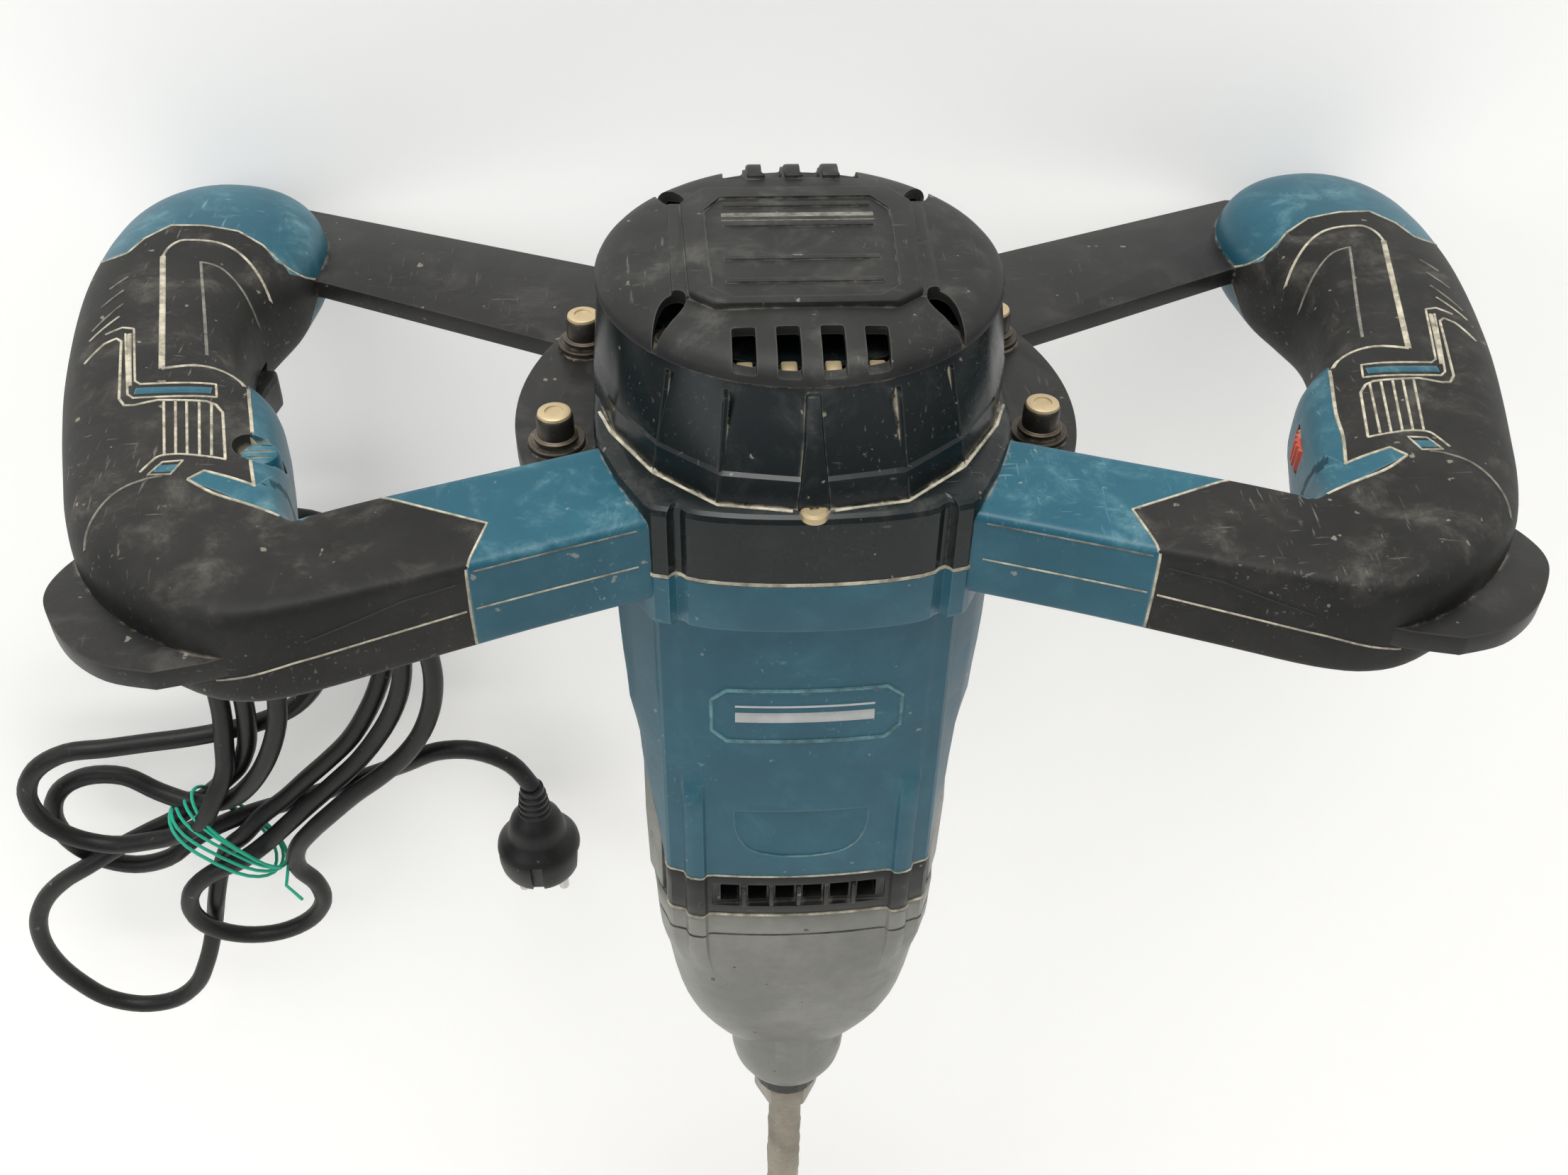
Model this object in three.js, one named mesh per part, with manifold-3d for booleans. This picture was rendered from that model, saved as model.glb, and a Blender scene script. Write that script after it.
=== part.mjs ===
// A corded paddle mixer for mortar: a steel frame plate with two D-shaped handles, a series motor standing on end in
// the middle, a two-stage gearbox under it, and a three-bladed paddle on the spindle. The mains cord is tied in a hank.
// Millimetres. +Z is up the motor's axis, +Y is the side where the user stands, and the origin is the middle of the
// frame plate's thickness on the motor's axis. The left handle is the one at -X.
import * as THREE from "three";
import { mergeVertices } from "three/addons/utils/BufferGeometryUtils.js";
import Module from "manifold-3d";

const wasm = await Module();
wasm.setup();

// ---- driving dimensions ----
const GAP = 0.3; // clearance between touching pieces
const PLATE = 6; // thickness of the frame plate
const TOP = PLATE / 2; // the plate's upper face
const UNDER = -PLATE / 2 - GAP; // where the pieces under the plate begin

const SPINDLE = [0, -36]; // the spindle stands forward of the motor's axis
const COUNTER = [16.1, -11.9]; // the countershaft stands between them, to one side

const CAP_Z = 48; // parting of the end cap and the motor housing
const CAP_R = 57; // end cap's rim
const BODY_TOP = UNDER;
const COLLAR_Z = -21; // lower edge of the collar round the body's top
const VENT_Z = -135; // parting of the body and the vent band
const COVER_Z = -155; // parting of the vent band and the gearbox cover
const CASE_Z = -166; // parting of the cover and the gearbox case
const DOME_Z = -204; // where the case starts to close in on the spindle
const NECK_Z = -267; // top of the rounded nose
const NOSE_Z = -284; // end of the gearbox case
const SPINDLE_Z = -293; // end of the spindle

const PADDLE_LENGTH = 590;
const PADDLE_TOP = -274; // upper end of the paddle's thread, inside the spindle
const PADDLE_Z = PADDLE_TOP - PADDLE_LENGTH;
const PADDLE_R = 70;
const SHAFT_R = 7;

// Tooth counts, fixed by the centre distances above: motor pinion, countershaft gear, countershaft pinion, output gear.
const TEETH = { motor: 6, counter: 38, second: 9, output: 43 };

const CORD_R = 4.25;
const GLAND = [-188, 96];

// ---- solids ----
// A geometry's solid: shared vertices merged, slivers at the poles dropped, faces turned outwards.
function solid(geometry) {
  const bare = new THREE.BufferGeometry();
  bare.setAttribute("position", geometry.getAttribute("position"));
  if (geometry.index) bare.setIndex(geometry.index);
  const merged = mergeVertices(bare, 1e-4);
  const index = merged.index.array;
  const triangles = [];
  for (let i = 0; i < index.length; i += 3) {
    const [a, b, c] = [index[i], index[i + 1], index[i + 2]];
    if (a !== b && b !== c && c !== a) triangles.push(a, b, c);
  }
  const position = merged.getAttribute("position");
  if (signedVolume(position, triangles) < 0) {
    for (let i = 0; i < triangles.length; i += 3) {
      [triangles[i + 1], triangles[i + 2]] = [triangles[i + 2], triangles[i + 1]];
    }
  }
  const mesh = new wasm.Mesh({
    numProp: 3,
    vertProperties: new Float32Array(position.array),
    triVerts: new Uint32Array(triangles),
  });
  return new wasm.Manifold(mesh);
}

function signedVolume(position, triangles) {
  const [a, b, c] = [new THREE.Vector3(), new THREE.Vector3(), new THREE.Vector3()];
  let volume = 0;
  for (let i = 0; i < triangles.length; i += 3) {
    a.fromBufferAttribute(position, triangles[i]);
    b.fromBufferAttribute(position, triangles[i + 1]);
    c.fromBufferAttribute(position, triangles[i + 2]);
    volume += a.dot(b.cross(c)) / 6;
  }
  return volume;
}

function geometryOf(manifold) {
  const mesh = manifold.getMesh();
  const geometry = new THREE.BufferGeometry();
  geometry.setAttribute("position", new THREE.BufferAttribute(new Float32Array(mesh.vertProperties), 3));
  geometry.setIndex(new THREE.BufferAttribute(new Uint32Array(mesh.triVerts), 1));
  geometry.computeVertexNormals();
  return geometry;
}

const join = (...solids) => solids.reduce((whole, next) => whole.add(next));
const cut = (whole, ...tools) => tools.reduce((left, tool) => left.subtract(tool), whole);

// A turned solid about a vertical axis, from [radius, height] corners that run round its section.
function turned(section, [x, y] = [0, 0], sides = 24) {
  const corners = section.map(([r, z]) => new THREE.Vector2(r, z));
  const onAxis = section[0][0] === 0 && section.at(-1)[0] === 0;
  if (!onAxis) corners.push(corners[0].clone());
  const geometry = new THREE.LatheGeometry(corners, sides);
  geometry.rotateX(Math.PI / 2);
  geometry.translate(x, y, 0);
  return solid(geometry);
}

function cylinder(radius, low, high, axis, sides) {
  return turned([[0, low], [radius, low], [radius, high], [0, high]], axis, sides);
}

function tube(inner, outer, low, high, axis, sides) {
  return turned([[inner, low], [outer, low], [outer, high], [inner, high]], axis, sides);
}

function box(low, high) {
  const size = low.map((value, axis) => high[axis] - value);
  const geometry = new THREE.BoxGeometry(...size);
  geometry.translate(...low.map((value, axis) => (value + high[axis]) / 2));
  return solid(geometry);
}

const outline = (points) => new THREE.Shape(points.map(([x, y]) => new THREE.Vector2(x, y)));

// A plan outline raised from low to high, with its edges rounded and its whole outline pulled in by inset.
function slab(points, low, high, { round = 0, inset = 0, segments = 2 } = {}) {
  const geometry = new THREE.ExtrudeGeometry(outline(points), {
    depth: high - low - 2 * round,
    bevelEnabled: round > 0 || inset !== 0,
    bevelThickness: round,
    bevelSize: round,
    bevelOffset: -round - inset,
    bevelSegments: round > 0 ? segments : 1,
  });
  geometry.translate(0, 0, low + round);
  return solid(geometry);
}

// A plan outline raised from high down to low while it draws in towards a fixed point.
function drawnIn(points, high, low, [fixedX, fixedY], atTop, atBottom) {
  const geometry = new THREE.ExtrudeGeometry(outline(points), { depth: 1, bevelEnabled: false });
  const position = geometry.getAttribute("position");
  for (let i = 0; i < position.count; i += 1) {
    const t = position.getZ(i);
    const [scaleX, scaleY] = [0, 1].map((axis) => THREE.MathUtils.lerp(atTop[axis], atBottom[axis], 1 - t));
    const x = fixedX + (position.getX(i) - fixedX) * scaleX;
    const y = fixedY + (position.getY(i) - fixedY) * scaleY;
    position.setXYZ(i, x, y, low + (high - low) * t);
  }
  return solid(geometry);
}

// The same outline on both sides of x = 0, from its half at +x, which runs from the front to the back.
function mirrored(half) {
  const other = half.filter(([x]) => x > 0).map(([x, y]) => [-x, y]);
  return [...half, ...other.reverse()];
}

function arc(radius, from, to, steps, [x, y] = [0, 0]) {
  const points = [];
  for (let i = 0; i <= steps; i += 1) {
    const angle = THREE.MathUtils.degToRad(from + ((to - from) * i) / steps);
    points.push([x + radius * Math.cos(angle), y + radius * Math.sin(angle)]);
  }
  return points;
}

// A round section swept along a smooth curve through points.
function swept(points, radius, sides, steps) {
  const section = new THREE.Shape().absarc(0, 0, radius, 0, 2 * Math.PI);
  const curve = new THREE.CatmullRomCurve3(points.map((point) => new THREE.Vector3(...point)));
  const options = { steps, curveSegments: sides / 2, bevelEnabled: false, extrudePath: curve };
  return solid(new THREE.ExtrudeGeometry(section, options));
}

// ---- materials ----
function finish(color, roughness, metalness = 0) {
  return new THREE.MeshStandardMaterial({ color, roughness, metalness });
}
const FINISH = {
  teal: finish(0x1f6274, 0.5),
  black: finish(0x1a1b1b, 0.45),
  gloss: finish(0x0c1212, 0.25),
  rubber: finish(0x2b2a28, 0.8),
  casting: finish(0x7d7d72, 0.6, 0.4),
  plate: finish(0x161514, 0.55, 0.6),
  steel: finish(0x8c887c, 0.4, 0.9),
  bolt: finish(0x2a2724, 0.4, 0.8),
  copper: finish(0xa5582c, 0.4, 0.9),
  lamination: finish(0x55585a, 0.5, 0.8),
  carbon: finish(0x1d1d1f, 0.7),
  red: finish(0xa8281e, 0.45),
  green: finish(0x1e9a70, 0.6),
  dusty: finish(0x8a7d62, 0.8, 0.3),
};

const mixer = new THREE.Group();
function add(name, material, manifold, side = 1) {
  const placed = side < 0 ? manifold.mirror([1, 0, 0]) : manifold;
  const mesh = new THREE.Mesh(geometryOf(placed), FINISH[material]);
  mesh.name = name;
  mixer.add(mesh);
}

// ---- frame plate ----
// The disc ends in a chord at the front, inside the housings. Each outline is the half at +x.
const DISC_R = 83;
const DISC = arc(DISC_R, -25, 205, 26);
const REAR_BAR = [[58, 30], [78, 40], [152, 77], [176, 92], [176, 124], [168, 128], [60, 84]];
const FRONT_BAR = [[36, -30], [46, -58], [150, -104], [163, -107], [186, -96], [197, -79], [192, -62], [165, -50],
  [146, -52], [133, -68], [116, -61], [60, -39], [50, -28]];
const HOLE_R = 50;
const BOLTS = [[70, -16], [64, 36], [-70, -16], [-64, 36]];
const BOLT_R = 3;

function framePieces(grow) {
  const options = { round: grow, inset: -grow, segments: 1 };
  const flat = (points) => slab(points, -PLATE / 2 - grow, PLATE / 2 + grow, options);
  const other = (points) => points.map(([x, y]) => [-x, y]).reverse();
  return join(flat(DISC), flat(REAR_BAR), flat(other(REAR_BAR)), flat(FRONT_BAR), flat(other(FRONT_BAR)));
}

function framePlate() {
  const holes = BOLTS.map((at) => cylinder(BOLT_R + 0.5, -PLATE, PLATE, at, 12));
  return cut(framePieces(0), cylinder(HOLE_R, -PLATE, PLATE, [0, 0], 32), ...holes);
}
const PLATE_ROOM = framePieces(GAP);

function frameBolt() {
  const [washerR, headR, headTop, shankLow] = [8, 5.3, 14.5, -13];
  const foot = TOP + GAP;
  return turned([[0, shankLow], [BOLT_R, shankLow], [BOLT_R, foot], [washerR, foot], [washerR, foot + 1.5],
    [headR, foot + 1.5], [headR, headTop - 0.8], [headR - 0.8, headTop], [0, headTop]], [0, 0], 12);
}

// ---- housings ----
const SKIRT_HALF = [[0, -73], [25, -72], [43, -67.5], [58, -36], ...arc(58, -20, 90, 9)];
const SKIRT = mirrored(SKIRT_HALF);
const BODY_HALF = [[0, -66], [40, -66], [52, -50], [54, -30], [54, 10], ...arc(54, 20, 90, 7)];
const BODY = mirrored(BODY_HALF);
const FRONT = [0, -66]; // the body draws in towards its front face
const BODY_SCALE = [0.87, 0.92]; // of the outline at the vent band, across and front to back
const MOTOR_ROOM = 44.6;
const WALL = 4;

function endCap() {
  const shell = [[CAP_R, CAP_Z + GAP], [CAP_R, 50.5], [55, 54], [50, 57], [42, 58.5], [0, 59.5]];
  const inside = [[0, 56], [41, 55], [48, 53.3], [52, 50.5], [53, CAP_Z + GAP]];
  const boss = cut(cylinder(15, 34, 57, [0, 0], 20), cylinder(11.3, 33, 42.3, [0, 0], 20));
  const slots = [];
  for (const side of [-1, 1]) {
    for (const x of [-17.1, -5.7, 5.7, 17.1]) {
      const [near, far] = [44, 60];
      slots.push(box([x - 3, side > 0 ? near : -far, 49.5], [x + 3, side > 0 ? far : -near, 60]));
    }
  }
  return cut(join(turned([...shell, ...inside], [0, 0], 32), boss), ...slots);
}

function motorHousing() {
  const skirt = slab(SKIRT, -3, 20, { round: 1, segments: 1 });
  const wall = cylinder(CAP_R - 1, 3, CAP_Z, [0, 0], 32);
  const rib = slab([[-2.5, -40], [-2.5, -71], [2.5, -71], [2.5, -40]], 18, 30);
  const room = cylinder(51, TOP, CAP_Z + 1, [0, 0], 32);
  const through = cylinder(HOLE_R, -4, CAP_Z, [0, 0], 32);
  return cut(join(skirt, wall, rib), room, through, PLATE_ROOM);
}

function bodyHousing() {
  const collar = slab(SKIRT, COLLAR_Z, BODY_TOP, { round: 1, segments: 1 });
  const flange = slab(arc(80, -12, 192, 20), BODY_TOP - 9, BODY_TOP);
  const barrel = drawnIn(BODY, COLLAR_Z + 5, VENT_Z + GAP, FRONT, [1, 1], BODY_SCALE);
  const fanRoom = cylinder(MOTOR_ROOM, -106, 0, [0, 0], 32);
  const airRoom = cylinder(36, VENT_Z - 1, -100, [0, 0], 24);
  const holes = BOLTS.map((at) => cylinder(BOLT_R + 0.5, -14, 0, at, 12));
  return cut(join(collar, flange, barrel), fanRoom, airRoom, ...holes);
}

function ventBand() {
  const drawn = (outer, inner) => drawnIn(BODY, outer, inner, FRONT, BODY_SCALE, BODY_SCALE);
  const ring = cut(drawn(VENT_Z, COVER_Z + GAP), cylinder(36, COVER_Z - 1, VENT_Z + 1, [0, 0], 24));
  const holes = [-22.5, -13.5, -4.5, 4.5, 13.5, 22.5].map((x) => box([x - 3, -70, -149], [x + 3, -20, -143]));
  return cut(ring, ...holes);
}

// ---- gearbox ----
const PITCH = {
  motor: (20 * TEETH.motor) / (TEETH.motor + TEETH.counter),
  counter: (20 * TEETH.counter) / (TEETH.motor + TEETH.counter),
  second: (29 * TEETH.second) / (TEETH.second + TEETH.output),
  output: (29 * TEETH.output) / (TEETH.second + TEETH.output),
};
const BACKLASH = 0.25; // the teeth end short of the pitch circle by this

// A spur gear whose teeth end just short of its pitch circle, so that two gears run side by side without touching.
function gear(teeth, pitch, depth, bore, low, high, axis) {
  const [tip, root] = [pitch - BACKLASH, pitch - BACKLASH - depth];
  const points = [];
  for (let i = 0; i < teeth; i += 1) {
    const step = 360 / teeth;
    const at = (radius, part) => arc(radius, (i + part) * step, (i + part) * step, 1, axis)[0];
    points.push(at(root, 0), at(tip, 0.3), at(tip, 0.6));
  }
  const blank = slab(points, low, high);
  return bore ? cut(blank, cylinder(bore, low - 1, high + 1, axis, 20)) : blank;
}

const COVER_SCALE = [0.86, 0.92];
function gearboxCover() {
  const plate = drawnIn(BODY, COVER_Z, CASE_Z + GAP, FRONT, COVER_SCALE, COVER_SCALE);
  const bearing = cylinder(11.3, -162.5, COVER_Z + 1, [0, 0], 20);
  const shaft = cylinder(5, CASE_Z - 1, COVER_Z, [0, 0], 16);
  const spindleEnd = cylinder(13.3, CASE_Z - 1, -157.5, SPINDLE, 20);
  const counterEnd = cylinder(4.5, CASE_Z - 1, -159, COUNTER, 16);
  return cut(plate, bearing, shaft, spindleEnd, counterEnd);
}

function gearboxCase() {
  const tub = drawnIn(BODY, CASE_Z, DOME_Z, FRONT, COVER_SCALE, [0.83, 0.88]);
  const skirt = drawnIn(BODY, DOME_Z, -236, SPINDLE, [0.82, 0.83], [0.5, 0.4]);
  const dome = turned([[0, NOSE_Z], [14, NOSE_Z], [19, -281], [22, -275], [23, NECK_Z], [29, -257], [36, -233],
    [42, DOME_Z - 1], [42, DOME_Z + 4], [0, DOME_Z + 4]], SPINDLE, 28);
  const gears = cylinder(26.5, -197, CASE_Z + 1, SPINDLE, 28);
  const counter = cylinder(19.5, -197, CASE_Z + 1, COUNTER, 24);
  const counterEnd = cylinder(4.5, -203, -190, COUNTER, 16);
  const pinion = cylinder(8, -190, CASE_Z + 1, [0, 0], 16);
  const bearing = cylinder(17.8, -262.3, -190, SPINDLE, 24);
  const spindle = cylinder(10, NOSE_Z - 1, -200, SPINDLE, 20);
  const seal = cylinder(12.4, NOSE_Z - 1, -276, SPINDLE, 20);
  return cut(join(tub, skirt, dome), gears, counter, counterEnd, pinion, bearing, spindle, seal);
}

function outputSpindle() {
  const [thread, end] = [SHAFT_R + GAP, -270];
  return turned([[0, -158], [7.5, -158], [7.5, -167], [8.2, -167], [8.2, NOSE_Z - 0.7], [13, NOSE_Z - 0.7],
    [13, SPINDLE_Z], [thread, SPINDLE_Z], [thread, end], [0, end]], SPINDLE, 20);
}

function countershaft() {
  const shaft = cylinder(4, -202.5, -159.5, COUNTER, 16);
  return join(shaft, gear(TEETH.second, PITCH.second, 1.6, 0, -196, -184.5, COUNTER));
}

// ---- motor ----
function motorShaft() {
  const shaft = cylinder(4, -172, 42, [0, 0], 16);
  return join(shaft, gear(TEETH.motor, PITCH.motor, 0.8, 0, -183, -171, [0, 0]));
}

function armatureCore() {
  const teeth = 12;
  const points = [];
  for (let i = 0; i < teeth; i += 1) {
    const step = 360 / teeth;
    const at = (radius, part) => arc(radius, (i + part) * step, (i + part) * step, 1)[0];
    points.push(at(25, 0), at(25, 0.35), at(25, 0.7), at(19, 0.75), at(19, 0.95));
  }
  return cut(slab(points, -70, -5), cylinder(4 + GAP, -71, -4, [0, 0], 16));
}

const COIL = { legs: [16, 22], y: [30, 38], z: [-74, -1], end: 8 };
function fieldCoil(side) {
  const [near, far] = side > 0 ? COIL.y : [-COIL.y[1], -COIL.y[0]];
  const [low, high] = COIL.z;
  const [inner, outer] = COIL.legs;
  const whole = box([-outer, near, low], [outer, far, high]);
  return cut(whole, box([-inner, near - 1, low + COIL.end], [inner, far + 1, high - COIL.end]));
}

function statorCore() {
  const slots = [];
  for (const side of [-1, 1]) {
    for (const hand of [-1, 1]) {
      const [near, far] = side > 0 ? COIL.y : [-COIL.y[1], -COIL.y[0]];
      const [left, right] = hand > 0 ? COIL.legs : [-COIL.legs[1], -COIL.legs[0]];
      slots.push(box([left - GAP, near - GAP, -80], [right + GAP, far + GAP, 0]));
    }
  }
  const [inner, outer, low, high] = [26.2, 44, COIL.z[0] + COIL.end + GAP, COIL.z[1] - COIL.end - GAP];
  return cut(tube(inner, outer, low, high, [0, 0], 32), ...slots);
}

function coolingFan() {
  const blades = [];
  const count = 9;
  for (let i = 0; i < count; i += 1) {
    const blade = box([10, -1, -97], [39, 1, -86]);
    blades.push(blade.rotate([0, 0, (360 / count) * i]));
  }
  const disc = join(cylinder(40, -88, -86, [0, 0], 28), cylinder(12, -97, -86, [0, 0], 20), ...blades);
  return cut(disc, cylinder(4 + GAP, -98, -85, [0, 0], 16));
}

// ---- handles, drawn at +x ----
const ARM = [[43.6, -67.8], [88, -84], [84, -68], [114.5, -57], [58.7, -36.2]];
const CORNER = [[88, -84], [131, -99.5], [142, -102.5], [155, -100], [186, -78], [192, -64], [186, -46], [162, -40],
  [141, -50], [132, -63.5], [114.5, -57], [84, -68]];
const GRIP = [[158, -92], [178, -86], [190, -73], [196, -57], [203, -35], [211, -8], [218, 26], [222, 55], [222.5, 92],
  [157.5, 58.5], [163, 46], [166, 34], [166, 20], [162, 0], [158, -25], [150, -62], [150, -84]];
const BULGE = [[172, 30], [164, 26], [156, 14], [150, -4], [146, -21], [141, -38], [137, -56], [150, -70], [176, -40]];
const REAR_CAP = [[157.6, 60.5], [222.6, 94], [221, 106], [214, 117], [202, 125], [187, 130], [170, 131], [157, 123],
  [150, 106], [150, 80]];
const [GRIP_LOW, GRIP_HIGH] = [-22, 24];
const [ARM_LOW, ARM_HIGH] = [-13, 17];
const SKIN = 2.4; // thickness of the rubber

const LINK = [[75, -74], [130, -93], [130, -69], [95, -55]]; // inside both the arm and the front corner

// The whole handle in front of its rear cap, shrunk by inset where the rubber covers it.
function limb(inset) {
  const corner = slab(CORNER, ARM_LOW - 1 + inset, ARM_HIGH + 1 - inset, { round: 3, inset, segments: 1 });
  return join(corner, slab(GRIP, GRIP_LOW + inset, GRIP_HIGH - inset, { round: 8, inset }));
}

function teal(grow) {
  const arm = slab(ARM, ARM_LOW - grow, ARM_HIGH + grow, { round: 1.5, inset: -grow, segments: 1 });
  const bulge = slab(BULGE, -8 - grow, 13 + grow, { round: 4, inset: -grow });
  return join(arm, bulge, slab(LINK, -9 - grow, 13 + grow, { inset: -grow }));
}

const ABOVE = box([0, -200, GAP / 2], [300, 200, 60]);
const BELOW = box([0, -200, -60], [300, 200, -GAP / 2]);
const SWITCH_ROOM = box([171, -12, -15], [202.5, 44, 15]);
const TRIGGER_ROOM = box([150, -6, -20.5], [186, 44, -5]);
const TRIGGER_TRAVEL = 6;
const BUTTON = { at: [148, -36], radius: 5.5, high: 17, low: 6, travel: 3 };
const BUTTON_ROOM = cylinder(BUTTON.radius + 0.5, BUTTON.low - BUTTON.travel - 1, 30, BUTTON.at, 20);
const DIAL = { at: [156, -30], radius: 14, low: -0.5, high: 7 };
const DIAL_ROOM = cylinder(DIAL.radius + 0.8, DIAL.low - 0.5, DIAL.high + 0.5, DIAL.at, 28);
const OPEN_SIDE = box([120, -50, DIAL.low - 0.5], [146, -10, DIAL.high + 0.5]);

function handlePieces(side, prefix, material) {
  const rooms = side < 0 ? [SWITCH_ROOM, TRIGGER_ROOM, BUTTON_ROOM] : [SWITCH_ROOM, DIAL_ROOM, OPEN_SIDE];
  const plate = side < 0 ? PLATE_ROOM.mirror([1, 0, 0]) : PLATE_ROOM;
  const shell = cut(join(teal(0), limb(SKIN + GAP)), ...rooms, plate);
  const grip = cut(limb(0), limb(SKIN), teal(GAP), ...rooms.slice(1), plate);
  add(prefix + "_handle_upper", material, shell.intersect(ABOVE), side);
  add(prefix + "_handle_lower", material, shell.intersect(BELOW), side);
  add(prefix + "_grip_upper", "rubber", grip.intersect(ABOVE), side);
  add(prefix + "_grip_lower", "rubber", grip.intersect(BELOW), side);
  add(prefix + "_rear_cap", material, cut(slab(REAR_CAP, -22, 22, { round: 8 }), plate), side);
}

// The trigger's face is hollowed for a finger. It is drawn at +x, like the handle that it slides in.
function trigger() {
  const face = [[178, -4], [178, 42], [163, 42], [160.5, 38], [162.2, 28], [163, 19], [162.2, 10], [160.5, 0], [163, -4]];
  return slab(face, -19, -7, { round: 1, segments: 1 });
}

function lockButton() {
  const { at, radius, high, low } = BUTTON;
  return turned([[0, low], [radius, low], [radius, high - 2], [radius - 2, high], [0, high]], at, 20);
}

function speedDial() {
  const { at, radius, low, high } = DIAL;
  const points = [];
  const ribs = 24;
  for (let i = 0; i < ribs; i += 1) {
    const step = 360 / ribs;
    const rib = (r, part) => arc(r, (i + part) * step, (i + part) * step, 1, at)[0];
    points.push(rib(radius, 0), rib(radius, 0.5), rib(radius - 0.9, 0.6), rib(radius - 0.9, 0.9));
  }
  return slab(points, low, high);
}

// ---- paddle ----
const BLADE = { low: PADDLE_Z + 3, high: PADDLE_Z + 190, turn: 200, inner: SHAFT_R + 0.8, outer: PADDLE_R - 6 };

// A helical strip that climbs round the shaft, swept from the bottom ring to its upper end.
function paddleBlade(start) {
  const { low, high, turn, inner, outer } = BLADE;
  const steps = 16;
  const thickness = 3;
  const strip = new THREE.BoxGeometry(outer - inner, thickness, high - low, 3, 1, steps);
  const position = strip.getAttribute("position");
  for (let i = 0; i < position.count; i += 1) {
    const rise = position.getZ(i) / (high - low) + 0.5;
    const draw = 1 - 0.55 * rise ** 2; // the strip narrows towards its top
    const radius = inner + (position.getX(i) + (outer - inner) / 2) * draw;
    const angle = THREE.MathUtils.degToRad(start + turn * rise) + position.getY(i) / radius;
    const x = SPINDLE[0] + radius * Math.cos(angle);
    const y = SPINDLE[1] + radius * Math.sin(angle);
    position.setXYZ(i, x, y, low + (high - low) * rise);
  }
  return solid(strip);
}

function paddleRing() {
  const middle = [PADDLE_R - 2.6, PADDLE_Z];
  const spokes = [0, 120, 240].map((angle) => {
    const spoke = box([SHAFT_R + GAP, -4, PADDLE_Z - 2.3], [PADDLE_R - 4, 4, PADDLE_Z + 2.3]);
    return spoke.rotate([0, 0, angle]).translate([...SPINDLE, 0]);
  });
  const round = arc(2.6, 0, 300, 5, middle);
  return join(turned(round, SPINDLE, 36), ...spokes);
}

function paddleShaft() {
  return cylinder(SHAFT_R, PADDLE_Z, PADDLE_TOP, SPINDLE, 16);
}

function paddleNut() {
  const [across, low, high] = [22, -305, SPINDLE_Z - GAP];
  const corner = across / 2 / Math.cos(Math.PI / 6);
  return cut(cylinder(corner, low, high, SPINDLE, 6), cylinder(SHAFT_R + GAP, low - 1, high + 1, SPINDLE, 16));
}

// ---- cord ----
const HANK_TOP = [-190, 100, -112];
const PLUG = [-109, 100];
const PLUG_TOP = -272;
const LEAD = [[...GLAND, -62 - GAP], [-188, 96.5, -78], [-189.5, 99, -95], [...HANK_TOP]];
const TAIL = [[-158.6, 103, -256], [-146, 101, -253.5], [-128, 100, -252.5], [-115, 100, -256.5],
  [PLUG[0], PLUG[1], -265], [...PLUG, PLUG_TOP + 0.6]];
// The hank's outer shape, seen from the front: x across and height up.
const HANK = [[-242, -125], [-232, -112.5], [-148, -112.5], [-137, -125], [-139, -215], [-160, -248], [-160, -264], [-182, -286],
  [-222, -330], [-246, -386], [-262, -388], [-282, -415], [-318, -437], [-350, -420], [-362, -372], [-350, -332],
  [-338, -300], [-336, -262], [-312, -241], [-264, -230], [-244, -205]];
const [HANK_FRONT, HANK_BACK] = [88, 118];

function hank() {
  const upright = slab(HANK, -HANK_BACK, -HANK_FRONT, { round: 3 });
  const tie = box([-290, 80, -330], [-205, 126, -278]);
  return cut(upright.rotate([90, 0, 0]), tie.subtract(hankCore()));
}

// The hank is squeezed to this core where the string is wound round it.
const TIE_MIDDLE = [-250, 103, -304];
function wound(grow, length) {
  const core = turned([[0, -length / 2], [15 + grow, -length / 2], [15 + grow, length / 2], [0, length / 2]], [0, 0], 16);
  return core.rotate([0, -140, 0]).translate(TIE_MIDDLE);
}
function hankCore() {
  return wound(0, 140);
}

function stringTie() {
  return cut(wound(2, 26), wound(GAP, 60));
}

function gland() {
  const [x, y] = GLAND;
  return turned([[0, -62], [5.4, -62], [7.6, -30], [9, -28], [9, -22 - GAP], [0, -22 - GAP]], [x, y], 16);
}

function plugBody() {
  const [top, shoulder, face] = [PLUG_TOP, -296, -326];
  const body = turned([[0, face], [17.5, face], [19.5, face + 3], [19.5, face + 12], [14, shoulder], [8, shoulder + 4],
    [5.5, top], [0, top]], PLUG, 24);
  const notches = [-1, 1].map((side) => {
    const y = PLUG[1] + side * 18;
    return box([PLUG[0] - 3, y - 3, face - 1], [PLUG[0] + 3, y + 3, face + 16]);
  });
  return cut(body, ...notches);
}

function plugPin(side) {
  const [face, length] = [-326 - GAP, 19];
  const at = [PLUG[0] + side * 9.5, PLUG[1]];
  return turned([[0, face - length], [1.6, face - length], [2.4, face - length + 1], [2.4, face], [0, face]], at, 12);
}

// ---- the assembly ----
add("handle_frame", "plate", framePlate());
BOLTS.forEach(([x, y], i) => add("frame_bolt_" + (i + 1), "bolt", frameBolt().translate([x, y, 0])));

add("motor_end_cap", "black", endCap());
add("motor_housing", "gloss", motorHousing());
add("body_housing", "teal", bodyHousing());
add("vent_band", "black", ventBand());
add("gearbox_cover", "casting", gearboxCover());
add("gearbox_case", "casting", gearboxCase());

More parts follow.
